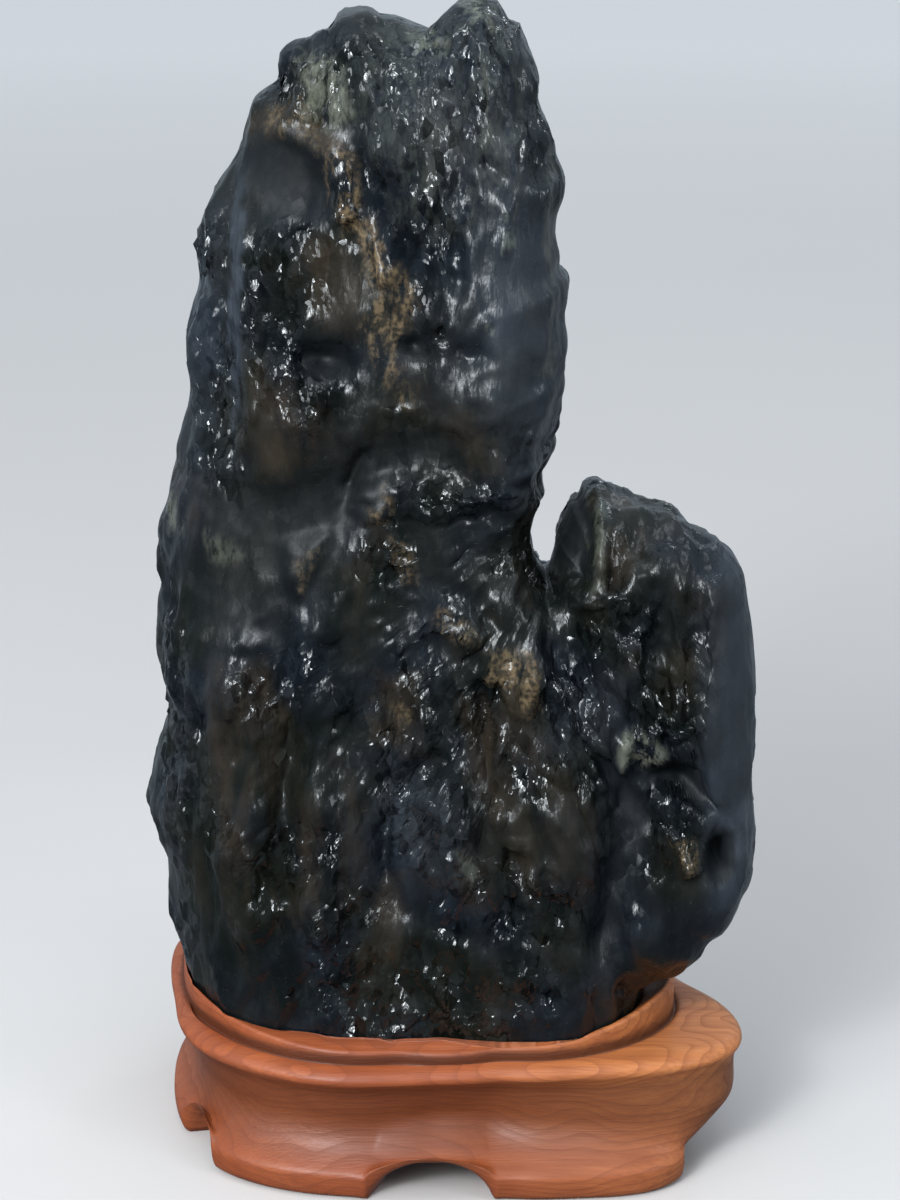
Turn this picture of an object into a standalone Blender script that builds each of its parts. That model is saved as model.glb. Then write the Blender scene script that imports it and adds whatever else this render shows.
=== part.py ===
"""A scholar's rock: one tall black stone seated in a carved wooden stand.

Lengths are millimetres in the tables and metres in the scene. Up is +Z and the front faces -Y."""

import math

import bmesh
import bpy
import numpy as np
from mathutils import Vector, noise

MM = 0.001

# ---- Stone: what sets its size ----
BASE_HEIGHT = 30  # its flat foot, down inside the socket
TWIST = -0.2  # how much the stone's middle plane comes forward, per mm to the right
CROWN_ROUND = 34  # how far down from its top the tower has rounded over to its full depth
LOBE_ROUND = 26  # the same for the lobe
CROWN_FADE = 40  # how far down the tower the shape of its top carries
STEP = 13  # distance between sections, along the outer outline
ACROSS = 18  # points across each face of a section
ROUGHNESS = 2.4  # depth of the weathering
GRAIN = (17, 17, 34)  # its spacing: the weathering runs up and down

# The tops of the tower and of the lobe, left to right, as (x, height).
CROWN = [
    (-68, 463), (-67, 468), (-62, 472), (-57, 473), (-53, 476), (-48, 479), (-45, 483),
    (-37, 486), (-31, 486), (-26, 482), (-15, 480), (-8, 478), (-4, 483), (2, 488),
    (10, 491), (18, 490), (22, 484), (27, 482), (31, 474), (34, 464),
]
LOBE_CROWN = [
    (111, 273), (105, 276), (101, 277), (95, 281), (90, 285), (84, 285), (77, 288), (70, 290),
    (64, 294), (60, 295), (56, 293), (53, 287), (50, 286), (47, 279),
]

# Each stretch pairs part of the outer outline with the part of the inner outline across from it.
# The outer one runs down the left of the tower, under the stone and up the right of the lobe.
# The number before each is how far in from there the faces have rounded over to their full depth.
STRETCHES = [
    ("upper tower",
     45, [(-68, 463), (-68, 456), (-76, 451), (-80, 444), (-84, 428), (-90, 419), (-98, 408),
          (-104, 396), (-105, 387)],
     40, [(34, 464), (35, 455), (34, 451), (39, 441), (41, 429), (45, 423), (45, 415),
          (42, 408), (44, 390)]),
    ("middle of the tower",
     50, [(-105, 387), (-104, 375), (-105, 364), (-110, 351), (-109, 335), (-108, 326)],
     42, [(44, 390), (43, 383), (47, 382), (46, 368), (48, 355), (46, 342)]),
    ("waist",
     50, [(-108, 326), (-110, 316), (-115, 299), (-119, 284), (-124, 262), (-125, 254)],
     36, [(46, 342), (46, 337), (45, 328), (42, 314), (42, 309)]),
    ("left flank",
     46, [(-125, 254), (-123, 243), (-126, 218), (-124, 196), (-123, 186), (-126, 173),
          (-131, 146), (-126, 121), (-124, 94)],
     24, [(42, 309), (37, 298), (38, 292), (34, 284), (33, 272)]),
    ("heel",
     34, [(-124, 94), (-118, 82), (-115, 70), (-113, 50), (-110, 20), (-95, -25)],
     18, [(33, 272), (35, 264)]),
    ("foot, left", 60, [(-95, -25), (-20, -30)], 16, [(35, 264), (38, 258)]),
    ("foot, right", 60, [(-20, -30), (62, -28)], 16, [(38, 258), (40, 255)]),
    ("toe",
     40, [(62, -28), (74, 10), (79, 40), (81, 62), (84, 76)],
     16, [(40, 255), (41, 256)]),
    ("under the lobe",
     32, [(84, 76), (91, 81), (98, 83), (105, 88), (110, 94), (112, 101), (118, 106),
          (126, 118), (128, 128)],
     18, [(41, 256), (43, 262)]),
    ("right flank",
     34, [(128, 128), (129, 142), (127, 170), (128, 188), (127, 202)],
     22, [(43, 262), (45, 271)]),
    ("lobe",
     34, [(127, 202), (127, 216), (124, 235), (122, 252), (118, 266), (111, 273)],
     28, [(45, 271), (47, 279)]),
]

# Marks of depth: x, height, depth in front of the middle plane and behind it.
DEPTHS = [
    (-15, 480, 30, 26), (-25, 440, 38, 33), (-30, 390, 44, 38), (-30, 320, 48, 42),
    (-45, 250, 52, 48), (-50, 180, 60, 52), (-50, 110, 66, 53), (-60, 50, 72, 50),
    (-105, 55, 50, 50), (0, 50, 62, 62), (0, 120, 60, 58), (0, 200, 54, 50),
    (45, 110, 48, 52), (60, 50, 46, 56), (40, 240, 46, 44), (95, 110, 38, 42),
    (105, 180, 40, 38), (95, 240, 38, 36), (80, 285, 34, 30),
]
DEPTH_REACH = 38  # how far each mark is felt

# Hollows (negative) and bosses on each face: x, height, half width, half height, tilt in degrees, depth.
FRONT_FEATURES = [
    (-67, 416, 20, 17, 0, -15),
    (-98, 360, 14, 60, 4, -8),
    (-85, 258, 50, 26, 12, -16),
    (-20, 310, 26, 15, 0, -9),
    (2, 232, 30, 14, -30, 5),
    (-88, 165, 15, 55, 3, 6),
    (-28, 150, 12, 42, 0, -7),
    (-3, 162, 18, 26, 0, 7),
    (45, 150, 22, 26, 10, 8),
    (90, 238, 15, 30, 0, -10),
    (56, 274, 14, 18, 0, -9),
    (70, 135, 12, 50, -6, -14),
]
BACK_FEATURES = [
    (-30, 400, 24, 40, 10, -9),
    (-70, 300, 26, 34, -12, -11),
    (10, 330, 18, 46, 4, 6),
    (-20, 200, 40, 22, 15, -12),
    (72, 160, 14, 60, 5, -12),
    (-80, 140, 24, 40, 0, 7),
    (20, 120, 26, 34, 0, -8),
]

# ---- Stand: what sets its size ----
LEDGE_HEIGHT = 57
SEAT_HEIGHT = 50  # the dished floor around the socket
EDGE_THICKNESS = 6
WAIST_HEIGHT = 31
FOOT_TOE = 12  # height of the foot's widest point
FOOT_WIDTH = 22
ARCH_HEIGHT = 20
UNDERSIDE_HEIGHT = 21
SOCKET_MIDDLE = (-15, 0, 60)
SOCKET_GROWTH = (1.005, 1.008, 1.012)  # leaves about 0.4 mm around the stone in its socket
AROUND = 108

# Plans as (x, y): edge of the ledge, foot of the collar that holds the stone, and outside of the feet.
EDGE_PLAN = [
    (127, -36), (126, -24), (123, -12), (113, 3), (103, 14), (96, 30), (84, 50), (62, 66),
    (25, 77), (-25, 83), (-70, 84), (-105, 82), (-121, 73), (-127, 58), (-127, 38), (-125, 18),
    (-121, -2), (-119, -20), (-112, -41), (-97, -59), (-80, -70), (-62, -79), (-29, -82),
    (-8, -79), (21, -76), (54, -75), (80, -71), (97, -67), (114, -59), (124, -47),
]
COLLAR_PLAN = [
    (99, -11), (96, -26), (85, -43), (63, -59), (21, -65), (-21, -68), (-63, -65), (-85, -52),
    (-98, -38), (-113, -16), (-118, 4), (-120, 30), (-119, 54), (-108, 66), (-70, 73),
    (-20, 74), (30, 67), (62, 54), (84, 34), (95, 10),
]
FOOT_PLAN = [
    (103, -20), (103, -44), (100, -62), (90, -75), (55, -81), (21, -81), (-42, -80), (-64, -77),
    (-81, -71), (-95, -63), (-107, -51), (-113, -35), (-121, -16), (-124, 8), (-123, 46),
    (-112, 70), (-85, 81), (-30, 83), (20, 78), (60, 64), (84, 44), (97, 12),
]
# Feet as (first, last) degrees around the stand, from +X towards +Y.
FEET = [(283, 327), (348, 380), (46, 76), (100, 131), (150, 191), (208, 246)]
# Height of the collar's rim, as (degrees, height).
COLLAR_HEIGHTS = [
    (0, 77), (35, 72), (90, 66), (140, 66), (180, 68), (215, 65), (270, 63), (310, 64), (335, 70),
]
# How far the waist draws in under the edge, as (degrees, distance).
WAIST_DEPTHS = [(0, 5), (60, 9), (180, 9), (290, 9), (335, 4)]


def along(points, fractions):
    """Points at the given fractions of a polyline's length."""
    points = np.array(points, float)
    reach = np.concatenate([[0], np.cumsum(np.hypot(*np.diff(points, axis=0).T))])
    where = fractions * reach[-1]
    return np.stack([np.interp(where, reach, points[:, axis]) for axis in (0, 1)], axis=1)


def length_of(points):
    return np.hypot(*np.diff(np.array(points, float), axis=0).T).sum()


def spine():
    """The outer and the inner point of every section, closer together near both tops."""
    outer, inner = [], []
    for number, (_, _, outside, _, inside) in enumerate(STRETCHES):
        steps = max(2, round(length_of(outside) / STEP))
        last = number == len(STRETCHES) - 1
        fractions = np.arange(steps + last) / steps
        if number == 0:
            fractions = fractions**1.6
        if last:
            fractions = 1 - (1 - fractions) ** 1.6
        outer.append(along(outside, fractions))
        inner.append(along(inside, fractions))
    return np.concatenate(outer), np.concatenate(inner)


def face_points():
    """Points across every section, as (section, point, x and height).

    A section that would pass below the foot starts at the foot instead, and both tops are shaped."""
    outer, inner = spine()
    below = np.clip(BASE_HEIGHT - outer[:, 1], 0, None)
    start = (below / (below + inner[:, 1] - BASE_HEIGHT))[:, None]
    even = (1 - np.cos(np.pi * np.arange(ACROSS + 1) / ACROSS)) / 2
    across = start + (1 - start) * even
    points = outer[:, None] + across[..., None] * (inner - outer)[:, None]
    from_top = np.concatenate([[0], np.cumsum(np.hypot(*np.diff(outer, axis=0).T))])
    from_end = from_top[-1] - from_top
    crown = along(CROWN, even) - points[0]
    lobe_crown = along(LOBE_CROWN, even) - points[-1]
    points += np.clip(1 - from_top / CROWN_FADE, 0, 1)[:, None, None] * crown
    points += np.clip(1 - from_end / CROWN_FADE, 0, 1)[:, None, None] * lobe_crown
    return points


def distance_to(points, line):
    """Distance from each point to the nearest place on a polyline."""
    line = np.array(line, float)
    nearest = np.full(points.shape[:-1], np.inf)
    for start, stop in zip(line[:-1], line[1:]):
        run = stop - start
        part = np.clip(((points - start) @ run) / (run @ run), 0, 1)
        nearest = np.minimum(nearest, np.linalg.norm(points - start - part[..., None] * run, axis=-1))
    return nearest


def swell(points):
    """0 on the outline, rising as a quarter round to 1 where the stone has its full depth."""
    edges = [(CROWN_ROUND, CROWN), (LOBE_ROUND, LOBE_CROWN)]
    for _, outer_round, outside, inner_round, inside in STRETCHES:
        edges += [(outer_round, outside), (inner_round, inside)]
    inward = np.min([distance_to(points, line) / radius for radius, line in edges], axis=0)
    return np.sqrt(1 - (1 - np.clip(inward, 0, 1)) ** 2)


def depths(points):
    """Depth in front of and behind the middle plane, blended between the marks."""
    x, height, front, back = np.array(DEPTHS, float).T
    away = (points[..., :1] - x) ** 2 + (points[..., 1:] - height) ** 2
    weight = np.exp(-away / (2 * DEPTH_REACH**2)) + 1e-9
    total = weight.sum(axis=-1)
    return (weight @ front) / total, (weight @ back) / total


def relief(points, features):
    """How far a face stands out at each point, from its hollows and bosses."""
    out = np.zeros(points.shape[:-1])
    for x, height, half_width, half_height, tilt, depth in features:
        turn = math.radians(tilt)
        right = points[..., 0] - x
        up = points[..., 1] - height
        u = (right * math.cos(turn) + up * math.sin(turn)) / half_width
        v = (up * math.cos(turn) - right * math.sin(turn)) / half_height
        out += depth * np.exp(-((u * u + v * v) ** 1.5))
    return out


def stone_sections():
    """Loops of points in mm before weathering, across the front and back again behind."""
    points = face_points()
    edge = swell(points)
    front, back = depths(points)
    middle = TWIST * points[..., 0]
    front_y = middle - edge * (front + relief(points, FRONT_FEATURES))
    back_y = middle + edge * (back + relief(points, BACK_FEATURES))
    faces = [np.stack([points[..., 0], y, points[..., 1]], axis=-1) for y in (front_y, back_y)]
    return np.concatenate([faces[0], faces[1][:, ::-1]], axis=1)


def ring_quads(rings, around):
    """Quads that join each ring of points to the next."""
    quads = []
    for ring in range(rings - 1):
        for spot in range(around):
            after = (spot + 1) % around
            here, above = ring * around, (ring + 1) * around
            quads.append([here + spot, here + after, above + after, above + spot])
    return quads


def add_object(name, points, faces, material):
    """A mesh object from points in mm, welded where they coincide."""
    mesh = bpy.data.meshes.new(name)
    mesh.from_pydata([tuple(point) for point in np.array(points) * MM], [], faces)
    mesh.materials.append(material)
    shape = bmesh.new()
    shape.from_mesh(mesh)
    bmesh.ops.remove_doubles(shape, verts=shape.verts, dist=0.00001)
    bmesh.ops.triangulate(shape, faces=shape.faces)
    bmesh.ops.recalc_face_normals(shape, faces=shape.faces)
    shape.to_mesh(mesh)
    shape.free()
    obj = bpy.data.objects.new(name, mesh)
    bpy.context.scene.collection.objects.link(obj)
    return obj


def weathered(obj, seed):
    """Moves points along their normals by noise stretched up and down, less and less into the socket."""
    for vertex in obj.data.vertices:
        spot = Vector(vertex.co[axis] / MM / GRAIN[axis] for axis in range(3)) + Vector((seed, 0, 0))
        bared = min(1, max(0, (vertex.co.z / MM - SEAT_HEIGHT) / 20))
        vertex.co += vertex.normal * noise.fractal(spot, 0.8, 2.1, 3) * ROUGHNESS * bared * MM


def make_stone(material):
    sections = stone_sections()
    count, around, _ = sections.shape
    stone = add_object("rock", sections.reshape(-1, 3), ring_quads(count, around), material)
    weathered(stone, 7)
    return stone


def plan_radius(plan, angles):
    """Distance from the middle to a plan outline in each direction, its corners eased."""
    plan = np.array(plan, float)
    radius = np.interp(angles, np.arctan2(plan[:, 1], plan[:, 0]), np.hypot(*plan.T), period=2 * np.pi)
    for _ in range(3):
        radius = (np.roll(radius, 1) + 2 * radius + np.roll(radius, -1)) / 4
    return radius


def around_stand(marks, angles):
    """A size given at a few directions, blended to every direction."""
    turns, sizes = zip(*marks)
    return np.interp(np.degrees(angles), turns, sizes, period=360)


def foot_line(degrees):
    """Height of the stand's lower edge in each direction: 0 on a foot, an arch between two feet."""
    height = np.full(len(degrees), float(ARCH_HEIGHT))
    for (_, start), (stop, _) in zip(FEET, FEET[1:] + FEET[:1]):
        width = (stop - start) % 360
        across = 2 * ((degrees - start) % 360) / width - 1
        arch = ARCH_HEIGHT * np.clip(1 - np.abs(across) ** 2.2, 0, 1) ** 0.7
        height = np.where((degrees - start) % 360 <= width, arch, height)
    for start, stop in FEET:
        height = np.where((degrees - start) % 360 <= stop - start, 0, height)
    return height


def stand_rings():
    """Rings of (radius, height) in every direction, from the underside round the outside to the seat."""
    angles = 2 * np.pi * np.arange(AROUND) / AROUND
    edge, collar, foot = (plan_radius(plan, angles) for plan in (EDGE_PLAN, COLLAR_PLAN, FOOT_PLAN))
    bottom = foot_line(np.degrees(angles))
    lift = bottom / ARCH_HEIGHT
    rim = around_stand(COLLAR_HEIGHTS, angles)
    waist = edge - around_stand(WAIST_DEPTHS, angles)
    toe = foot - 4 * lift
    under = np.full(AROUND, float(UNDERSIDE_HEIGHT))
    ledge = np.full(AROUND, float(LEDGE_HEIGHT))
    rings = [
        (toe - FOOT_WIDTH, under),
        (toe - FOOT_WIDTH, bottom),
        (toe - 4, bottom),
        (toe - 1, bottom + 4 * (1 - lift / 2)),
        (toe, bottom + FOOT_TOE * (1 - 0.7 * lift)),
        (waist + 0.3 * (toe - waist), WAIST_HEIGHT - 7 + 3 * lift),
        (waist, WAIST_HEIGHT + 2 * lift),
        ((waist + edge) / 2 - 2, ledge - EDGE_THICKNESS - 7),
        (edge - 2, ledge - EDGE_THICKNESS),
        (edge, ledge - EDGE_THICKNESS + 2),
        (edge - 0.5, ledge - 1.5),
        (edge - 2, ledge),
        (collar + 1, ledge),
        (collar - 0.5, ledge + 1.5),
        (collar - 2, rim - 1.5),
        (collar - 4, rim),
        (collar - 6, rim - 0.5),
        (collar - 13, (rim + SEAT_HEIGHT) / 2),
        (collar - 24, ledge - LEDGE_HEIGHT + SEAT_HEIGHT),
    ]
    return [np.stack([r * np.cos(angles), r * np.sin(angles), h], axis=1) for r, h in rings]


def make_stand(material):
    rings = stand_rings()
    points = np.concatenate(rings + [[(0, 0, UNDERSIDE_HEIGHT), (0, 0, SEAT_HEIGHT)]])
    faces = ring_quads(len(rings), AROUND)
    top = (len(rings) - 1) * AROUND
    for spot in range(AROUND):
        after = (spot + 1) % AROUND
        faces.append([after, spot, len(points) - 2])
        faces.append([top + spot, top + after, len(points) - 1])
    return add_object("stand", points, faces, material)


def cut_socket(stand, stone):
    """Cuts the stone's own shape, a little larger, out of the stand."""
    cutter = bpy.data.objects.new("socket_cutter", stone.data)
    bpy.context.scene.collection.objects.link(cutter)
    cutter.scale = SOCKET_GROWTH
    for axis, (middle, growth) in enumerate(zip(SOCKET_MIDDLE, SOCKET_GROWTH)):
        cutter.location[axis] = middle * MM * (1 - growth)
    cutter.hide_render = True
    cutter.display_type = "WIRE"
    cut = stand.modifiers.new("Socket", "BOOLEAN")
    cut.operation = "DIFFERENCE"
    cut.solver = "EXACT"
    cut.object = cutter


def make_material(name, colour, roughness):
    material = bpy.data.materials.new(name)
    material.use_nodes = True
    shader = material.node_tree.nodes["Principled BSDF"]
    shader.inputs["Base Color"].default_value = (*colour, 1)
    shader.inputs["Roughness"].default_value = roughness
    shader.inputs["Metallic"].default_value = 0
    material.diffuse_color = (*colour, 1)
    return material


def main():
    for obj in list(bpy.data.objects):
        bpy.data.objects.remove(obj)
    stone = make_stone(make_material("black_stone", (0.03, 0.035, 0.04), 0.3))
    stand = make_stand(make_material("orange_wood", (0.5, 0.26, 0.13), 0.4))
    cut_socket(stand, stone)


main()
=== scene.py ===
import math

import bmesh
import bpy
import numpy as np
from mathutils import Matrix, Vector


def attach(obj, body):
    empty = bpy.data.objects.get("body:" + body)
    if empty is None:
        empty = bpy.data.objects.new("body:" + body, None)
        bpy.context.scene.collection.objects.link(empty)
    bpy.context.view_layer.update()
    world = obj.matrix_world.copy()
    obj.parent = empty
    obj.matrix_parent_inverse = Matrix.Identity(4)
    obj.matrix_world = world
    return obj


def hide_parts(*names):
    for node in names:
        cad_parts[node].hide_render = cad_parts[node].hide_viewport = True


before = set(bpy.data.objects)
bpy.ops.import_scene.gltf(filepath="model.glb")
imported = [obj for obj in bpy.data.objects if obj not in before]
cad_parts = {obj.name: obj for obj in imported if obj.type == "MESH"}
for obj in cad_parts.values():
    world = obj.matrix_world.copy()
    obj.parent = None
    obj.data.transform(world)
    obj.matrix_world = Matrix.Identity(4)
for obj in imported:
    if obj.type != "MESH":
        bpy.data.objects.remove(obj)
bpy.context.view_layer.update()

# The looks of a scholar's rock on its stand: a black stone polished with wax, in a carved and
# varnished block of orange wood. Tables are in millimetres, meshes in metres. Up is +Z, and the
# broad face of the stone looks along -Y.

MM = 0.001
WELD = 0.01 * MM  # points nearer than this are one point

# ---- Stone: its middle plane and outline ----
BASE_HEIGHT = 30  # its flat foot, down inside the socket
TWIST = -0.2  # how much the middle plane comes forward, per mm to the right
CROWN_ROUND = 34  # how far down from its top the tower has rounded over to its full depth
LOBE_ROUND = 26  # the same for the lobe
CROWN_FADE = 40  # how far down the tower the shape of its top carries
CROWDING = 1.6  # above 1, sections lie closer together near both tops
SHORTEST_STRETCH = 8  # a shorter stretch of the outline gets as many sections as one of this length
CORNER_PASSES = 3  # how many times the corners of the outline are eased
SECTIONS = 520  # along the outer outline
FRONT_ACROSS = 132  # points across the front of a section
BACK_ACROSS = 56  # and across its back

# The tops of the tower and of the lobe, as (x, height).
CROWN = [
    (-68, 463), (-67, 468), (-65, 470), (-62, 472), (-57, 473), (-55, 474), (-53, 476), (-48, 478),
    (-46, 482), (-43, 485), (-37, 486), (-32, 486), (-28, 483), (-22, 482), (-15, 480), (-8, 478),
    (-4, 483), (0, 486), (3, 488), (6, 490), (12, 490), (19, 489), (20, 487), (23, 482), (28, 481),
    (29, 478), (31, 474), (33, 469), (34, 464),
]
LOBE_CROWN = [
    (111, 273), (109, 275), (105, 276), (101, 277), (98, 279), (95, 281), (91, 284), (88, 285),
    (84, 285), (81, 287), (77, 288), (74, 289), (70, 290), (66, 292), (63, 294), (60, 295),
    (56, 293), (55, 290), (53, 287), (50, 286), (49, 284), (47, 279),
]

# Each stretch pairs part of the outer outline with the part of the inner outline across from it.
# The outer one runs down the left of the tower, under the stone and up the right of the lobe.
# The number before each is how far in from there the faces have rounded over to their full depth.
STRETCHES = [
    ("upper tower",
     45, [(-68, 463), (-68, 456), (-72, 454), (-76, 451), (-79, 448), (-80, 443), (-83, 435),
          (-84, 428), (-88, 423), (-90, 419), (-94, 413), (-98, 408), (-101, 403), (-103, 398),
          (-104, 393), (-105, 387)],
     34, [(34, 464), (35, 459), (35, 455), (34, 451), (35, 448), (37, 445), (39, 441), (40, 438),
          (41, 434), (41, 429), (44, 424), (45, 419), (44, 413), (42, 408), (42, 397), (44, 390)]),
    ("middle of the tower",
     50, [(-105, 387), (-104, 381), (-103, 374), (-104, 369), (-105, 365), (-107, 359), (-109, 355),
          (-110, 349), (-110, 343), (-109, 335), (-108, 327)],
     36, [(44, 390), (43, 385), (47, 382), (47, 372), (46, 368), (47, 363), (48, 354), (47, 348),
          (46, 344)]),
    ("waist",
     50, [(-108, 327), (-109, 320), (-110, 316), (-112, 311), (-113, 306), (-115, 301), (-114, 298),
          (-116, 293), (-118, 289), (-119, 283), (-120, 277), (-122, 272), (-123, 267), (-124, 261),
          (-125, 256)],
     32, [(46, 344), (46, 336), (45, 333), (45, 328), (44, 325), (44, 320), (42, 316), (43, 313),
          (42, 310)]),
    ("left flank",
     46, [(-125, 256), (-124, 246), (-123, 242), (-124, 238), (-125, 232), (-126, 220), (-126, 205),
          (-123, 195), (-123, 182), (-124, 178), (-126, 173), (-127, 166), (-129, 159), (-130, 152),
          (-131, 145), (-129, 139), (-129, 132), (-128, 127), (-126, 121), (-125, 116), (-125, 108),
          (-124, 94)],
     24, [(42, 310), (39, 304), (37, 300), (37, 295), (38, 290), (36, 286), (34, 281), (33, 277),
          (33, 272)]),
    ("heel",
     34, [(-124, 94), (-122, 88), (-120, 84), (-118, 78), (-117, 71), (-116, 64), (-115, 56),
          (-112, 30), (-95, -25)],
     18, [(33, 272), (34, 267), (35, 263)]),
    ("foot, left", 60, [(-95, -25), (-20, -30)], 16, [(35, 263), (38, 258)]),
    ("foot, right", 60, [(-20, -30), (62, -28)], 16, [(38, 258), (40, 255)]),
    ("toe", 40, [(62, -28), (74, 10), (79, 40), (81, 62), (84, 76)], 16, [(40, 255), (41, 256)]),
    ("under the lobe",
     30, [(84, 76), (87, 80), (92, 81), (96, 82), (99, 84), (103, 87), (106, 90), (109, 93),
          (110, 96), (111, 100), (117, 103), (119, 107), (121, 110), (124, 115), (127, 120),
          (128, 126)],
     18, [(41, 256), (42, 260), (43, 263)]),
    ("right flank",
     30, [(128, 126), (129, 140), (128, 148), (128, 161), (127, 166), (127, 175), (128, 181),
          (128, 189), (127, 196), (127, 202)],
     20, [(43, 263), (44, 268), (44, 271), (45, 274)]),
    ("lobe",
     30, [(127, 202), (126, 206), (127, 211), (127, 217), (126, 224), (125, 231), (124, 240),
          (122, 250), (121, 258), (120, 262), (118, 266), (115, 271), (111, 273)],
     26, [(45, 274), (46, 277), (47, 279)]),
]

# Marks of depth: x, height, depth in front of the middle plane and behind it.
DEPTHS = [
    (-15, 480, 30, 26), (-25, 440, 38, 33), (-30, 390, 44, 38), (-30, 320, 48, 42),
    (-45, 250, 52, 48), (-50, 180, 60, 52), (-50, 110, 66, 53), (-60, 50, 72, 50),
    (-105, 55, 50, 50), (0, 50, 62, 62), (0, 120, 60, 58), (0, 200, 54, 50),
    (45, 110, 48, 52), (60, 50, 46, 56), (40, 240, 46, 44), (95, 110, 38, 42),
    (105, 180, 40, 38), (95, 240, 38, 36), (80, 285, 34, 30),
]
DEPTH_REACH = 38  # how far each mark is felt

# Hollows (negative) and bosses on the front: depth, how wide their sloping sides are, and outline.
FRONT_SHAPES = [
    # tower
    (-5, 12, [(-86, 422), (-78, 433), (-66, 437), (-54, 435), (-49, 420), (-51, 408), (-66, 404),
              (-80, 408)]),
    (-12, 5, [(-110, 396), (-98, 412), (-86, 424), (-85, 405), (-87, 380), (-84, 362), (-83, 348),
              (-81, 335), (-82, 322), (-90, 306), (-100, 296), (-125, 290), (-115, 340)]),
    (-5, 4, [(-99, 376), (-92, 380), (-88, 368), (-87, 350), (-90, 340), (-99, 345)]),
    (-5, 4, [(-6, 366), (-3, 367), (-1, 364), (-3, 361), (-6, 362)]),
    (-4, 6, [(1, 361), (14, 361), (16, 356), (8, 352), (2, 355)]),
    (-4, 5, [(30, 355), (35, 354), (35, 341), (31, 340)]),
    (-5, 2, [(-38, 481), (-30, 482), (-25, 479), (-31, 476), (-38, 478)]),
    (5, 7, [(-57, 467), (-48, 470), (-41, 464), (-40, 452), (-46, 446), (-56, 450)]),
    (4, 6, [(4, 491), (18, 489), (20, 478), (14, 470), (6, 474), (2, 482)]),
    (4, 6, [(-48, 440), (-40, 438), (-36, 424), (-36, 410), (-44, 408), (-48, 422)]),
    (3, 8, [(4, 345), (20, 342), (22, 330), (8, 326), (2, 334)]),
    # waist
    (-5, 4, [(-37, 319), (-33, 318), (-35, 304), (-40, 296), (-43, 300), (-40, 310)]),
    (-5, 8, [(2, 292), (22, 296), (32, 290), (30, 276), (16, 268), (2, 272)]),
    (4, 5, [(-22, 300), (-12, 305), (6, 304), (16, 298), (10, 290), (-6, 290), (-20, 292)]),
    (4, 5, [(-34, 300), (-26, 306), (-22, 300), (-26, 288), (-34, 286), (-40, 292)]),
    (4, 6, [(-66, 274), (-56, 278), (-50, 281), (-52, 272), (-58, 262), (-62, 254), (-66, 262)]),
    # body
    (4, 6, [(-8, 258), (0, 258), (8, 250), (16, 244), (14, 236), (2, 238), (-8, 244), (-14, 240),
            (-16, 246)]),
    (4, 6, [(20, 240), (30, 241), (38, 234), (38, 222), (34, 208), (26, 210), (22, 222), (10, 224),
            (12, 234)]),
    (-6, 6, [(40, 250), (54, 252), (58, 244), (60, 232), (68, 220), (62, 210), (52, 212), (44, 222),
             (38, 236)]),
    (-7, 5, [(-16, 190), (-8, 193), (-2, 188), (-4, 180), (-10, 178), (-17, 180)]),
    (6, 7, [(-15, 178), (-4, 182), (8, 178), (11, 166), (8, 158), (-4, 158), (-15, 160)]),
    (4, 6, [(-14, 156), (-6, 158), (8, 154), (12, 142), (4, 134), (-8, 138), (-15, 146)]),
    (-6, 5, [(22, 152), (30, 150), (33, 143), (28, 139), (22, 142)]),
    (-8, 6, [(22, 128), (27, 129), (29, 122), (26, 117), (22, 120)]),
    (6, 18, [(34, 172), (46, 176), (58, 166), (62, 152), (58, 140), (46, 134), (36, 138), (32, 154)]),
    (6, 10, [(-97, 220), (-84, 222), (-76, 200), (-76, 150), (-74, 115), (-90, 104), (-97, 140),
             (-99, 180)]),
    (-5, 4, [(-93, 202), (-89, 202), (-87, 190), (-90, 182), (-93, 190)]),
    (-6, 9, [(-72, 204), (-62, 206), (-58, 196), (-63, 180), (-68, 162), (-64, 146), (-70, 146),
             (-74, 170), (-75, 190)]),
    (-4, 6, [(-52, 236), (-44, 238), (-40, 226), (-46, 212), (-53, 220)]),
    (3, 8, [(-60, 150), (-50, 152), (-44, 135), (-46, 112), (-56, 108), (-64, 125)]),
    # lobe
    (-12, 4, [(42, 266), (48, 262), (56, 264), (57, 280), (56, 292), (50, 292), (45, 284)]),
    (-7, 4, [(64, 262), (71, 266), (77, 276), (78, 288), (72, 290), (65, 288), (63, 276)]),
    (7, 3, [(103, 268), (112, 275), (140, 275), (140, 120), (122, 130), (119, 160), (108, 174),
            (103, 192), (101, 210), (103, 240)]),
    (4, 3, [(78, 252), (82, 253), (84, 248), (80, 246)]),
    (3, 3, [(90, 234), (94, 234), (96, 210), (91, 206)]),
    (5, 4, [(68, 222), (70, 238), (76, 244), (76, 232), (74, 222), (72, 219)]),
    (6, 4, [(69, 200), (76, 204), (84, 201), (89, 192), (87, 186), (80, 184), (76, 189), (70, 184)]),
    (-9, 9, [(81, 183), (91, 189), (98, 187), (103, 181), (109, 171), (101, 170), (92, 174), (85, 178)]),
    (5, 4, [(92, 170), (100, 169), (101, 162), (94, 160), (89, 164)]),
    (5, 3, [(88, 160), (98, 160), (103, 151), (102, 142), (98, 141), (93, 149)]),
    (-10, 16, [(66, 186), (76, 184), (82, 176), (88, 162), (80, 150), (74, 130), (72, 108), (62, 96),
               (56, 110), (60, 130), (66, 150), (64, 170)]),
]
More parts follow.
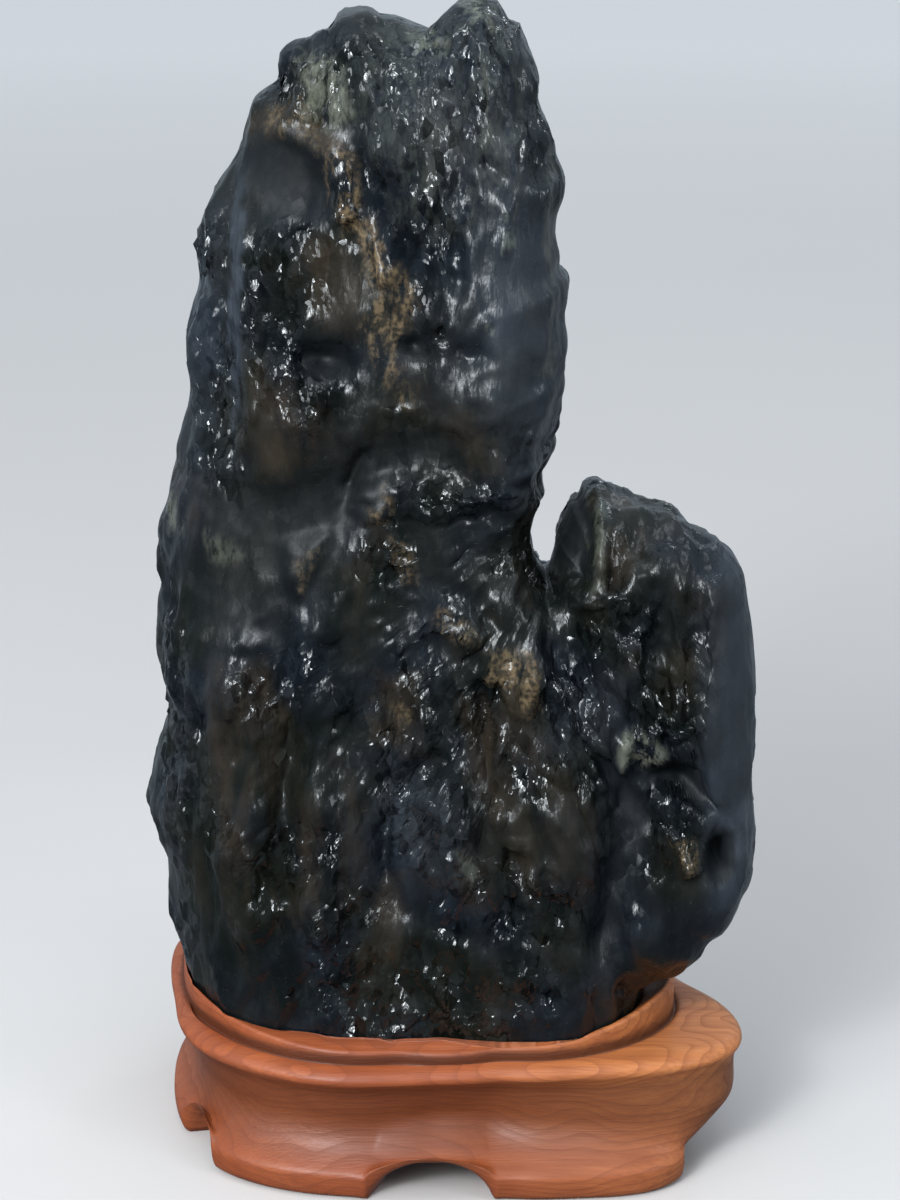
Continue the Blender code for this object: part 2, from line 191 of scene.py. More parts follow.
# Ridges and grooves on the front: half width, height (negative for a groove), and where they run.
FRONT_RIDGES = [
    # tower
    (3, 7, [(-82, 430), (-84, 420), (-86, 405), (-86, 385), (-84, 368), (-83, 355), (-81, 342), (-80, 328),
            (-86, 314), (-92, 304)]),
    (2, 3, [(-103, 385), (-101, 372), (-104, 358), (-102, 340)]),
    (3, 4, [(-79, 433), (-70, 440), (-58, 439), (-50, 434)]),
    (2, 3, [(-40, 412), (-34, 408), (-29, 398), (-26, 386)]),
    (1.5, 4, [(38, 436), (38, 420), (39, 400), (40, 375), (40, 355), (38, 338), (32, 322)]),
    (2, 3, [(8, 470), (12, 455), (10, 448)]),
    (2, 3, [(17, 458), (16, 436)]),
    (2, 2, [(7, 444), (9, 430)]),
    (2, 2, [(10, 426), (13, 414)]),
    (2, 3, [(30, 478), (32, 460)]),
    (4, 4, [(22, 415), (23, 409)]),
    (3, 4, [(23, 404), (21, 398)]),
    (3, -4, [(14, 430), (20, 426)]),
    (3, -3, [(28, 450), (27, 430)]),
    (3, -3, [(2, 400), (4, 380)]),
    (2, 3, [(-73, 368), (-70, 356), (-64, 349)]),
    (2, 3, [(-53, 338), (-54, 326), (-62, 326)]),
    (2, 3, [(14, 371), (9, 364)]),
    # waist
    (4, 2, [(-40, 322), (-30, 332), (-12, 333), (2, 326)]),
    (2, 3, [(-40, 296), (-34, 298)]),
    (2, 3, [(-12, 298), (-4, 301), (6, 297), (14, 298)]),
    (2, 3, [(-24, 279), (-19, 276)]),
    (2, 3, [(-26, 273), (-19, 269)]),
    (2, 2, [(-22, 260), (-16, 256)]),
    (2, 3, [(44, 261), (52, 257), (60, 256), (66, 259), (72, 263)]),
    (2, 3, [(24, 268), (28, 263)]),
    # body
    (2, 3, [(-24, 242), (-20, 236)]),
    (2, 3, [(-12, 239), (-6, 244), (0, 246), (10, 240)]),
    (2, 3, [(41, 218), (45, 210), (50, 204), (58, 199), (64, 192)]),
    (2, 3, [(50, 188), (56, 190), (60, 184)]),
    (2, 4, [(41, 187), (47, 183), (54, 181), (56, 170), (59, 163)]),
    (2, 3, [(62, 178), (66, 174), (67, 168)]),
    (2, 4, [(19, 166), (22, 158), (27, 154), (32, 152)]),
    (2, 3, [(32, 142), (38, 137), (46, 133)]),
    (2, 3, [(-5, 181), (0, 182), (5, 181)]),
    (2, 3, [(-12, 152), (-11, 146)]),
    (2, 3, [(9, 216), (9, 200), (12, 186)]),
    (2, 3, [(17, 220), (17, 204), (20, 190)]),
    (2, -3, [(5, 232), (4, 195)]),
    (2, -3, [(13, 214), (14, 190), (17, 170)]),
    (2, -3, [(23, 208), (26, 186)]),
    (2, -3, [(-46, 205), (-47, 170), (-44, 112)]),
    (3, -5, [(-24, 200), (-26, 170), (-26, 140), (-20, 120)]),
    (2, 3, [(-10, 213), (-9, 200)]),
    (2, 3, [(-21, 200), (-20, 170), (-19, 150)]),
    (2, 3, [(-113, 172), (-113, 130)]),
    (2, 3, [(-117, 200), (-113, 190), (-114, 178)]),
    (2, 2, [(-101, 185), (-100, 172)]),
    (2, 3, [(-102, 160), (-105, 150)]),
    (2, 3, [(-85, 221), (-79, 213)]),
    (2, 3, [(-77, 152), (-72, 146), (-65, 140)]),
    (2, 3, [(-56, 136), (-50, 130), (-44, 122)]),
    (2, 3, [(-70, 120), (-64, 116)]),
    (2, 3, [(-61, 101), (-55, 94), (-48, 90), (-42, 86)]),
    (2, 2, [(-38, 88), (-28, 86)]),
    (2, 3, [(-12, 90), (-6, 88), (0, 81)]),
    # lobe
    (2, 4, [(57, 246), (58, 236), (61, 229), (66, 223), (71, 217)]),
    (2, 3, [(65, 256), (66, 243), (69, 236)]),
    (2, 4, [(72, 220), (76, 212), (80, 205), (84, 203)]),
    (2, 3, [(80, 218), (82, 210), (85, 205)]),
    (2, 3, [(70, 164), (74, 156)]),
    (2, 3, [(90, 201), (99, 206)]),
    (2, 3, [(97, 191), (102, 187)]),
    (2, 4, [(78, 177), (83, 170), (90, 165)]),
    (2, 3, [(97, 272), (101, 270), (102, 265), (100, 262)]),
    (2, 3, [(86, 281), (93, 278), (100, 281)]),
    (2, 3, [(74, 128), (76, 121)]),
    (2, 2, [(60, 290), (60, 262)]),
]
# Soft-edged bowls (negative) and swellings on the front: depth, x, height, half width, half height
# and tilt in degrees.
FRONT_BOWLS = [
    (-4, -66, 416, 20, 24, 0),
    (-11, -50, 351, 9, 7, 0),
    (-9, -14, 359, 5, 5, 0),
    (6, -62, 326, 22, 20, 0),
    (-5, -72, 287, 50, 24, 22),
    (-5, -14, 313, 22, 17, 0),
    (-4, -92, 250, 32, 26, 0),
    (-7, 91, 240, 14, 30, 0),
    (-17, 111, 147, 5, 9, 0),
    (-6, 97, 182, 14, 9, 30),
    (-5, 48, 285, 9, 18, 0),
    (5, 0, 165, 14, 16, 0),
    (4, -20, 440, 16, 30, 8),
    (-5, 8, 432, 9, 34, 4),
    (-5, -42, 300, 8, 18, 10),
    (4, 24, 350, 12, 60, 0),
    (-5, -30, 160, 8, 50, 4),
    (-4, 14, 190, 7, 40, -6),
    (4, -52, 160, 12, 50, 0),
    (-5, -66, 175, 6, 40, 2),
    (-4, -8, 110, 9, 40, 3),
    (4, 24, 96, 14, 30, 0),
]
# Shapes and ridges on the back, in the same terms.
BACK_SHAPES = [
    (-9, 14, [(-54, 420), (-34, 440), (-14, 430), (-6, 400), (-18, 366), (-42, 362), (-54, 390)]),
    (-11, 16, [(-92, 326), (-74, 338), (-50, 322), (-44, 290), (-60, 268), (-86, 276)]),
    (6, 12, [(-4, 374), (16, 380), (28, 340), (22, 296), (4, 286), (-8, 320)]),
    (-12, 12, [(-58, 206), (-30, 224), (4, 218), (20, 200), (0, 182), (-36, 180)]),
    (-13, 9, [(64, 226), (78, 214), (84, 170), (82, 120), (70, 100), (60, 130), (62, 180)]),
    (7, 12, [(-100, 176), (-78, 182), (-60, 150), (-62, 112), (-86, 100), (-102, 130)]),
    (-8, 12, [(-2, 148), (24, 156), (46, 132), (40, 98), (14, 88), (-6, 110)]),
    (6, 6, [(-20, 450), (-4, 454), (10, 444), (4, 430), (-14, 430)]),
    (-7, 4, [(-68, 376), (-60, 380), (-52, 372), (-54, 362), (-64, 360)]),
    (-6, 5, [(86, 246), (96, 250), (104, 232), (102, 206), (90, 202)]),
    (-6, 5, [(-104, 224), (-94, 228), (-86, 212), (-90, 196), (-102, 198)]),
]
BACK_RIDGES = [
    (4, 5, [(-70, 440), (-50, 400), (-55, 350), (-40, 300)]),
    (4, 5, [(30, 430), (20, 380), (26, 320), (10, 270)]),
    (3, -5, [(-20, 290), (-30, 250), (-20, 215)]),
    (3, 4, [(-110, 250), (-80, 240), (-50, 255)]),
    (3, -5, [(-60, 180), (-62, 130), (-55, 80)]),
    (3, -4, [(45, 200), (42, 150), (48, 100)]),
]

# Where the surface is broken into small chips that catch the light, on the front:
# x, height, half width, half height, tilt in degrees, strength.
CRUMPLED = [
    (-4, 456, 26, 24, 0, 1.0),
    (-30, 468, 12, 10, 0, 0.6),
    (-12, 415, 20, 30, 10, 0.7),
    (-72, 362, 12, 34, 15, 1.0),
    (-56, 340, 12, 20, 10, 0.7),
    (-66, 394, 14, 10, 0, 0.6),
    (-96, 330, 12, 50, 8, 0.6),
    (-99, 388, 7, 18, 0, 0.7),
    (0, 297, 22, 8, 0, 0.7),
    (-24, 270, 12, 10, 0, 0.5),
    (-20, 205, 30, 22, 0, 0.5),
    (-3, 165, 16, 26, 0, 1.0),
    (-68, 143, 20, 10, 35, 1.0),
    (-44, 118, 20, 10, 30, 0.8),
    (28, 128, 26, 16, 0, 0.9),
    (-48, 90, 26, 10, 35, 0.8),
    (-10, 78, 30, 14, 0, 0.8),
    (30, 88, 26, 12, 0, 0.7),
    (50, 210, 14, 18, -40, 0.8),
    (66, 246, 18, 16, 0, 0.8),
    (84, 212, 14, 16, 0, 0.6),
    (92, 165, 12, 14, 0, 0.7),
    (68, 140, 10, 30, 0, 0.4),
    (-80, 212, 10, 10, 0, 0.5),
    (-54, 456, 16, 13, 0, 0.8),
    (-17, 166, 12, 22, 0, 0.9),
    (-60, 380, 12, 16, 0, 0.5),
    (34, 440, 10, 26, 0, 0.5),
    (24, 404, 7, 16, 0, 0.8),
    (14, 480, 16, 10, 0, 0.6),
    (0, 120, 10, 16, 0, 0.6),
    (36, 196, 14, 12, 0, 0.5),
    (-116, 180, 8, 60, 0, 0.6),
]

# Stains on the front, each in its own colour, with one painted sheen among the grey-green ones: strength,
# how soft their edges are, and outline.
BROWN_STAINS = [
    (0.7, 16, [(-80, 348), (-62, 346), (-44, 338), (-44, 318), (-56, 306), (-78, 306), (-86, 318)]),
    (0.9, 6, [(-88, 440), (-70, 450), (-52, 446), (-40, 440), (-38, 425), (-48, 436), (-66, 440),
              (-80, 432)]),
    (0.7, 8, [(-60, 400), (-40, 400), (-34, 380), (-40, 360), (-60, 366), (-66, 384)]),
    (0.8, 8, [(-98, 222), (-76, 226), (-68, 205), (-74, 180), (-72, 150), (-62, 130), (-66, 110),
              (-84, 112), (-96, 140)]),
    (0.6, 8, [(-58, 190), (-44, 194), (-36, 160), (-34, 130), (-50, 112), (-60, 135), (-64, 160)]),
    (0.9, 16, [(30, 176), (44, 182), (60, 166), (64, 150), (56, 134), (40, 134), (30, 146)]),
    (0.7, 8, [(5, 215), (25, 222), (40, 205), (36, 180), (20, 165), (8, 185)]),
    (0.6, 6, [(-30, 225), (-14, 226), (-10, 205), (-16, 190), (-32, 198)]),
    (0.6, 6, [(-30, 135), (-20, 140), (-22, 100), (-36, 100)]),
    (0.6, 6, [(4, 152), (16, 150), (18, 125), (6, 125)]),
    (0.6, 8, [(-118, 300), (-96, 296), (-92, 282), (-110, 276), (-120, 284)]),
    (0.5, 6, [(56, 292), (76, 292), (76, 262), (60, 260)]),
    (0.5, 8, [(104, 262), (116, 262), (118, 240), (104, 236)]),
    (0.5, 8, [(2, 336), (20, 338), (20, 310), (4, 306)]),
]
TAN_STAINS = [
    (0.6, 5, [(-76, 440), (-66, 450), (-56, 452), (-52, 440), (-56, 435), (-68, 436)]),
    (1.0, 4, [(-52, 436), (-40, 438), (-35, 420), (-34, 404), (-42, 404), (-48, 420)]),
    (1.0, 3, [(-38, 410), (-31, 409), (-25, 394), (-22, 384), (-31, 378), (-34, 392)]),
    (0.8, 4, [(-32, 394), (-22, 394), (-14, 384), (-16, 366), (-20, 352), (-26, 342), (-30, 356),
              (-35, 366), (-30, 378)]),
    (0.6, 3, [(-20, 345), (-14, 342), (-16, 334), (-22, 336)]),
    (1.0, 2, [(-27, 304), (-24, 300), (-25, 292), (-28, 286), (-36, 286), (-34, 291), (-30, 294)]),
    (1.0, 2, [(-65, 270), (-62, 275), (-56, 275), (-50, 281), (-53, 273), (-56, 266), (-60, 254),
              (-62, 262)]),
    (0.9, 3, [(22, 238), (32, 239), (37, 230), (36, 220), (38, 213), (33, 208), (28, 212), (26, 220),
              (14, 223), (14, 232)]),
    (0.6, 3, [(-6, 256), (0, 254), (8, 247), (12, 240), (2, 240), (-6, 247)]),
    (0.8, 3, [(90, 158), (99, 157), (103, 150), (101, 142), (97, 143), (94, 150)]),
    (0.6, 3, [(-24, 212), (-16, 212), (-15, 204), (-22, 203)]),
    (0.5, 3, [(-24, 282), (-16, 278), (-12, 262), (-18, 260)]),
]
GREY_GREEN_STAINS = [
    (0.18, 8, [(-32, 478), (-10, 484), (24, 482), (32, 450), (24, 415), (0, 400), (-20, 410), (-34, 440)]),
    (0.9, 4, [(-60, 466), (-48, 470), (-40, 462), (-38, 448), (-46, 442), (-58, 446)]),
    (1.0, 2, [(3, 490), (12, 491), (11, 484), (9, 481), (8, 487), (4, 487)]),
    (0.8, 3, [(12, 488), (18, 488), (18, 480), (13, 481)]),
    (0.7, 3, [(-16, 478), (-8, 480), (2, 476), (-2, 470), (-14, 472)]),
    (0.6, 3, [(10, 472), (14, 472), (16, 440), (14, 436), (12, 450)]),
    (1.0, 2, [(20, 417), (25, 417), (25, 409), (20, 409)]),
    (0.9, 2, [(20, 405), (25, 406), (24, 399), (21, 397)]),
    (0.8, 2, [(14, 371), (17, 369), (16, 364), (13, 365)]),
    (0.9, 3, [(69, 201), (77, 204), (84, 200), (89, 191), (86, 186), (80, 184), (76, 190), (70, 185)]),
    (0.5, 4, [(57, 290), (63, 292), (63, 262), (57, 260)]),
    (0.5, 5, [(-100, 276), (-82, 274), (-84, 266), (-98, 264)]),
    (0.5, 4, [(2, 152), (10, 152), (12, 140), (4, 136)]),
    (0.7, 3, [(-121, 284), (-114, 286), (-112, 272), (-119, 268)]),
    # A pale strip along the right edge: painted sheen, not a stain.
    (0.4, 3, [(38, 434), (41, 434), (42, 345), (38, 345)]),
]
# Hollows that the polishing has left matte, their colour also darkened towards black as painted shade.
SHADED_MATTE_HOLLOWS = [
    (1.0, 12, [(-86, 422), (-78, 438), (-58, 439), (-48, 426), (-50, 410), (-60, 404), (-76, 405)]),
    (1.0, 5, [(-61, 350), (-57, 359), (-48, 361), (-40, 357), (-40, 348), (-46, 343), (-57, 344)]),
    (1.0, 3, [(-20, 360), (-17, 365), (-11, 365), (-9, 360), (-10, 354), (-17, 353)]),
    (0.8, 12, [(-110, 292), (-70, 302), (-40, 316), (-20, 326), (2, 322), (8, 308), (-20, 306), (-34, 284),
               (-60, 260), (-90, 268)]),
    (0.7, 12, [(-112, 262), (-84, 266), (-66, 250), (-70, 234), (-108, 236)]),
    (1.0, 5, [(42, 264), (58, 264), (58, 292), (48, 292)]),
    (1.0, 4, [(107, 158), (118, 158), (119, 140), (114, 133), (107, 137)]),
    (1.0, 4, [(81, 183), (91, 189), (98, 187), (103, 181), (109, 171), (101, 170), (92, 174), (85, 178)]),
    (0.7, 10, [(66, 184), (80, 178), (84, 160), (76, 130), (70, 104), (58, 100), (62, 150)]),
    (0.6, 6, [(104, 264), (118, 262), (124, 240), (126, 200), (126, 170), (112, 168), (104, 200)]),
    (0.5, 8, [(34, 172), (46, 178), (60, 166), (62, 150), (52, 136), (36, 138)]),
]
# Smooth, broad faces with no chips: x, height, half width, half height, tilt, strength.
SMOOTH_FACES = [
    (26, 380, 22, 56, 0, 1.0),
    (116, 200, 13, 80, 0, 1.0),
    (-68, 419, 18, 14, 0, 1.0),
    (-85, 372, 5, 50, -2, 0.95),
    (-88, 262, 34, 30, 10, 0.9),
    (-30, 312, 30, 12, 0, 0.8),
    (54, 276, 12, 20, 0, 1.0),
    (-100, 105, 20, 30, 0, 0.6),
    (96, 110, 24, 24, 0, 0.9),
    (42, 152, 16, 20, 0, 0.6),
]
# Faces with a painted sheen, pale bluish colour standing in for the reflections they catch, in the same
# terms.
PAINTED_SHEEN_FACES = [
    (28, 370, 18, 56, 0, 0.45),
    (118, 200, 13, 80, 0, 1.0),
    (-86, 372, 2.5, 56, -2, 0.8),
    (-104, 340, 10, 60, -8, 0.35),
    (-66, 424, 12, 10, 0, 0.1),
    (0, 452, 34, 36, 0, 0.25),
    (-17, 165, 13, 24, 0, 0.4),
    (-2, 160, 16, 30, 0, 0.25),
    (50, 208, 12, 20, -40, 0.3),
    (70, 150, 10, 36, 0, 0.2),
]

# ---- Stone: how all of its surface is worn ----
# Noise bends the hollows, bosses, ridges and bowls of the tables above, this far and at this size.
# Two finer noises make the sides of shapes uneven and break up the ridges.
RELIEF_BEND = 3.2
RELIEF_BEND_SIZE = 17
UNEVEN_SIZE = 15
BROKEN_SIZE = 8
PATCH_STEEPNESS = 1.5

# Crests of three kinds: how high, how wide and how tall each is, and its seed.
CRAGS = (9, 27, 56, 3)
FOLDS = (6, 12, 34, 13)
KNOBS = (3.6, 6, 13, 23)
CREST_LEVEL = 0.22  # of a crest's height: how far its top is above the unworn stone
CREST_ROUNDING = 0.0015
COMING_AND_GOING = 26  # size of the noise by which folds and knobs come and go
CHIP_SIZE = (5, 5, 7.5)
CHIP_JITTER = 0.45  # how far a chip's centre is from its cell's, in cells
CHIP_HEIGHT = 0.15
CRUMPLED_HEIGHT = 1.6  # what is added to that where the stone is crumpled

# Noise bends the run of the crests and chips, and at the lower right they lean over.
RUN_BEND = 4
RUN_BEND_SIZE = 18
RIGHT_LEAN = 0.35  # per mm of height
LEAN_HEIGHT = 200  # where the lean is measured from
LEAN_ACROSS = (-20, 40)  # it sets in over these x
LEAN_DOWN = (260, 220)  # and down these heights

# Where the crests and chips are weaker.
BARE_HEIGHTS = (54, 74)  # over these heights they set in; below, the stone is inside the stand
FACE_RELIEF = 1.1  # how much of them the faces have
EDGE_RELIEF = 0.3  # share of that which is left at the middle plane
EDGE_CRAGS = 0.6  # how much of the crags is left there
EDGE_FADE = 14  # distance over which the share grows
SMOOTH_LOSS = 0.83  # share of the crests that smooth places lose
CHIP_LOSS = 0.9  # and of the chips
CRUMPLED_LOSS = 0.85  # and of being crumpled
NOTCH_FOOT = (46, 256)
NOTCH_REACH = math.sqrt(300)  # how far around its foot the notch has less of them
NOTCH_LOSS = 0.85  # share lost there
FRONT_FADE = 8  # distance over which the front's marks give way to the back's

# ---- Stone: how its marks end, and those that the tables do not place ----
RAGGED_SIZE = (7, 7, 9)
RAGGED_PUSH = 4  # how far noise pushes the edges of patches and stains
SCATTER_SIZE = (24, 24, 34)  # crumpled places all over
SCATTER_CRUMPLED = 0.55
BLOTCH_SIZE = (26, 26, 50)  # brown blotches all over
BLOTCH_BROWN = 0.35
VEIN_SIZE = (60, 60, 90)  # tan veins on the back
VEIN_WIDTH = 0.03
PAINTED_SHEEN_FADE = 40  # the painted sheen runs on round the side, and fades out over this distance

# ---- Stone: its colours ----
BLUE_BLACK = (0.0022, 0.0034, 0.005)
GREEN_BLACK = (0.003, 0.0045, 0.0035)
BLUE_GREY = (0.0065, 0.009, 0.0125)
BROWN_GREY = (0.0095, 0.0095, 0.0075)
BROWN = (0.024, 0.0175, 0.0115)
GREY_GREEN = (0.095, 0.1, 0.078)
TAN = (0.11, 0.078, 0.044)
# Painted sheen: pale bluish colour standing in for reflections on some faces.
PAINTED_SHEEN_TINT = (0.045, 0.054, 0.07)
# Painted shade: the colour that the hollows are darkened towards.
PAINTED_HOLLOW_SHADE = (0.0015, 0.003, 0.004)

# ---- Stand: what sets its shape ----
LEDGE_HEIGHT = 58
EDGE_THICKNESS = 6.5
EDGE_UNDERSIDE = LEDGE_HEIGHT - EDGE_THICKNESS
WAIST_HEIGHT = 31
FOOT_TOE = 12  # height of the foot's widest point
FOOT_WIDTH = 22
ARCH_HEIGHT = 17.5
ARCH_ROUND = 0.62  # the power that rounds an arch: 0.5 is half an ellipse, 1 a parabola
PLAN_PASSES = 50  # how many times the corners of a plan are eased
SIZE_PASSES = 60  # and the sizes given around the stand
UNDERSIDE_HEIGHT = 21
SOCKET_GAP = 0.4  # between the stone and the wood of its socket
SOCKET_LEVELS = (48, 42, 36, 31)  # heights of the rings down the socket's wall
SOCKET_FLOOR = BASE_HEIGHT - 0.6
SOCKET_TOP = 92  # above this the wood need not keep clear of the stone
SOCKET_TURNS = 180  # directions in which the stone is measured for its socket
SOCKET_STEP = 4  # and the step between the heights
PROFILE_STEPS = 3  # points to each stretch of the profile
AROUND = 480  # points around the stand

# Plans as (x, y): edge of the ledge, foot of the collar that holds the stone, and outside of the feet.
EDGE_PLAN = [
    (127, -36), (126, -24), (123, -12), (113, 3), (103, 14), (96, 30), (84, 50), (62, 66),
    (25, 77), (-25, 83), (-70, 84), (-105, 82), (-121, 73), (-127, 58), (-127, 38), (-125, 18),
    (-121, -2), (-119, -20), (-112, -40), (-97, -57), (-80, -67), (-62, -75), (-29, -78),
    (-8, -76), (21, -73), (54, -72), (80, -69), (97, -65), (114, -58), (124, -47),
]
COLLAR_PLAN = [
    (99, -11), (96, -26), (85, -42), (63, -57), (21, -63), (-21, -66), (-63, -63), (-85, -51),
    (-99, -37), (-113, -16), (-118, 4), (-120, 30), (-119, 54), (-108, 66), (-70, 73),
    (-20, 74), (30, 67), (62, 54), (84, 34), (95, 10),
]
FOOT_PLAN = [
    (107, -20), (108, -44), (103, -62), (91, -75), (55, -81), (21, -81), (-42, -80), (-64, -77),
    (-81, -71), (-95, -63), (-107, -51), (-113, -35), (-121, -16), (-124, 8), (-123, 46),
    (-112, 70), (-85, 81), (-30, 83), (20, 78), (60, 64), (84, 44), (97, 12),
]
# Feet as (first, last) degrees around the stand, from +X towards +Y.
FEET = [(283, 327), (348, 380), (46, 76), (100, 131), (150, 191), (208, 246)]
# As (degrees, mm): height of the collar's rim, height of the dished floor where it meets the stone,
# and how far the waist draws in under the edge.
COLLAR_HEIGHTS = [
    (0, 77), (35, 72), (90, 66), (140, 66), (180, 69), (205, 66), (230, 63), (270, 62), (305, 63),
    (320, 67), (338, 73),
]
SEAT_HEIGHTS = [(0, 66), (40, 60), (90, 56), (180, 62), (220, 65), (270, 66), (310, 65), (335, 66)]
WAIST_DEPTHS = [(0, 5), (60, 10), (180, 10), (210, 12), (290, 13), (315, 7), (335, 2)]

# ---- Stand: how its block was cut, and its colours ----
PITH_BEHIND = 20
PITH_BELOW = 150
RING_WIDTH = 4.0
WOOD_TURN = (0.05, 0.06, 0.12)  # in radians
RED_WOOD = (0.215, 0.045, 0.011)
ORANGE_WOOD = (0.29, 0.073, 0.022)
# Paler wood to the right and higher up: partly the wood's own lighter tone, partly a painted sheen where
# the shelf catches reflections.
PALE_WOOD_AND_SHEEN = (0.47, 0.172, 0.052)
STREAKED_WOOD = (0.15, 0.029, 0.008)
LATE_WOOD = (0.12, 0.024, 0.007)
FIBRE = (0.14, 0.028, 0.008)
# Painted shade: the colour that the apron under the ledge is darkened towards, where shade falls.
PAINTED_SHADE_UNDER_LEDGE = (0.075, 0.020, 0.006)
# Painted shade: the colour of the dark band at the foot of the collar and of the dish under the stone.
PAINTED_COLLAR_SHADE = (0.05, 0.012, 0.004)
GROOVE_WIDTH = 1.5
GROOVE_HEIGHT = 2.5
DISH_FROM_COLLAR = (-3, -12)  # painted shade deepens over these mm inside the collar
LOBE_SIDE = (0, 70)  # and the more so, over these x

# ---- Studio: in metres and watts ----
FLOOR_REACH = 40.0
NEAR_FLOOR = ((0.435, 0.405, 0.388), (0.455, 0.425, 0.408))
FAR_FLOOR = (0.73, 0.68, 0.655)
LAMP_COLOUR = (0.90, 0.96, 1.0)
LAMP_AIM = (0, 0, 0.25)
SKY_SPREAD = math.radians(50)
SKY_TILT = (math.radians(12), math.radians(-14), 0)
SKY_STRENGTH = 0.8
BRIGHT_SIDE = (0.1, 0.25, 1.0)  # the side of the room that gives the most light
ROOM_LIGHT = (0.73, 0.87, 1.0, 1)
ROOM_SEEN = (0.62, 0.63, 0.65, 1)
CAMERA_PLACE = (0, -1.10, 0.60)
CAMERA_DOWN = math.radians(18.1)
CAMERA_LENS = 82.2  # in mm
CAMERA_SENSOR = 36  # in mm
# Each lamp's name, place, size and power.
LAMPS = [
    ("softbox", (-0.75, -1.25, 1.15), 0.9, 32),
    ("lamp", (-0.7, -1.3, 1.1), 0.3, 17),
    ("overhead", (0.15, -0.35, 1.9), 0.6, 6),
    ("side", (1.1, -0.8, 0.9), 0.35, 5),
    ("behind", (0.8, 1.2, 1.3), 0.15, 2),
]


# ---- Random surfaces ----
SCRAMBLE_AXES = np.array([73856093, 19349663, 83492791], np.uint64)
SCRAMBLE_SEED = 2654435761
SCRAMBLE_AGAIN = 1274126177


def scattered(cells, seed):
    """Three repeatable random numbers from -1 to 1 for each whole-number cell: its coordinates and
    the seed times large numbers, with the bits folded over each other, taken ten at a time."""
    x, y, z = np.moveaxis(cells.astype(np.int64).astype(np.uint64) * SCRAMBLE_AXES, -1, 0)
    mixed = x ^ y ^ z ^ seed * SCRAMBLE_SEED
    mixed = (mixed ^ (mixed >> 13)) * SCRAMBLE_AGAIN
    mixed ^= mixed >> 16
    return np.stack([(mixed >> shift) % 1024 / 511.5 - 1 for shift in (0, 10, 20)], axis=-1)


def noise(points, seed):
    """Gradient noise, about -1 to 1: every corner of a unit lattice holds a random slope, and a
    point takes the smooth blend of the eight slopes around it."""
    cell = np.floor(points)
    part = points - cell
    ease = part**3 * (part * (part * 6 - 15) + 10)
    total = np.zeros(points.shape[:-1])
    for corner in np.ndindex(2, 2, 2):
        slope = scattered(cell + corner, seed)
        weight = np.prod(np.where(corner, ease, 1 - ease), axis=-1)
        total += weight * (slope * (part - corner)).sum(axis=-1)
    return total


def layered(points, seed, layers):
    """Noise summed over octaves, each at twice the fineness and half the height of the last."""
    return sum(noise(points * 2**n, seed + n) / 2**n for n in range(layers))


def crested(points, seed):
    """Noise folded over at zero into slightly rounded crests, falling away on both sides."""
    return CREST_LEVEL - np.sqrt(noise(points, seed) ** 2 + CREST_ROUNDING)


def chips(points, seed):
    """Fracture chips: each unit cell holds a jittered centre with a random slope, and a point takes
    the height of its nearest centre's tilted plane."""
    cell = np.floor(points)
    nearest = np.full(points.shape[:-1], np.inf)
    height = np.zeros(points.shape[:-1])
    for corner in np.ndindex(3, 3, 3):
        other = cell + corner - 1
        away = points - other - 0.5 - CHIP_JITTER * scattered(other, seed)
        reach = (away**2).sum(axis=-1)
        plane = (away * scattered(other, seed + 1)).sum(axis=-1)
        height = np.where(reach < nearest, plane, height)
        nearest = np.minimum(reach, nearest)
    return height


# ---- Curves and fields ----
def ramp(values, start, stop):
    """0 up to the start, 1 from the stop on, and in proportion between them."""
    return np.clip((values - start) / (stop - start), 0, 1)


def reach_along(line):
    """How far along a polyline each of its points lies."""
    return np.concatenate([[0], np.cumsum(np.hypot(*np.diff(line, axis=0).T))])


def along(line, fractions):
    """Points at the given fractions of a polyline's length."""
    reach = reach_along(line)
    where = fractions * reach[-1]
    return np.stack([np.interp(where, reach, values) for values in zip(*line)], axis=1)


def distance_to(points, line):
    """Distance from each point to the nearest place on a polyline."""
    line = np.array(line, float)
    nearest = np.full(points.shape[:-1], np.inf)
    for start, stop in zip(line[:-1], line[1:]):
        run = stop - start
        part = np.clip(((points - start) @ run) / (run @ run), 0, 1)
        nearest = np.minimum(nearest, np.linalg.norm(points - start - part[..., None] * run, axis=-1))
    return nearest


def mound(points, x, height, half_width, half_height, tilt, steepness):
    """1 at the middle of a tilted ellipse and 0 outside it: exp of minus its squared radius to a
    power, so that a higher power gives a flatter top and steeper sides."""
    turn = math.radians(tilt)
    right = points[..., 0] - x
    up = points[..., 1] - height
    u = (right * math.cos(turn) + up * math.sin(turn)) / half_width
    v = (up * math.cos(turn) - right * math.sin(turn)) / half_height
    return np.exp(-((u * u + v * v) ** steepness))


def inside_by(points, outline):
    """How far each point lies inside a closed outline, negative outside: the distance to its edge,
    signed by how many edges a ray to the right would cross."""
    closed = np.array(outline + outline[:1], float)
    crossings = np.zeros(points.shape[:-1], int)
    for (x0, z0), (x1, z1) in zip(closed[:-1], closed[1:]):
        if z0 == z1:
            continue
        level = (points[..., 1] - z0) / (z1 - z0)
        beyond = x0 + level * (x1 - x0) > points[..., 0]
        crossings += ((z0 > points[..., 1]) != (z1 > points[..., 1])) & beyond
    return np.where(crossings % 2 == 1, 1, -1) * distance_to(points, closed)


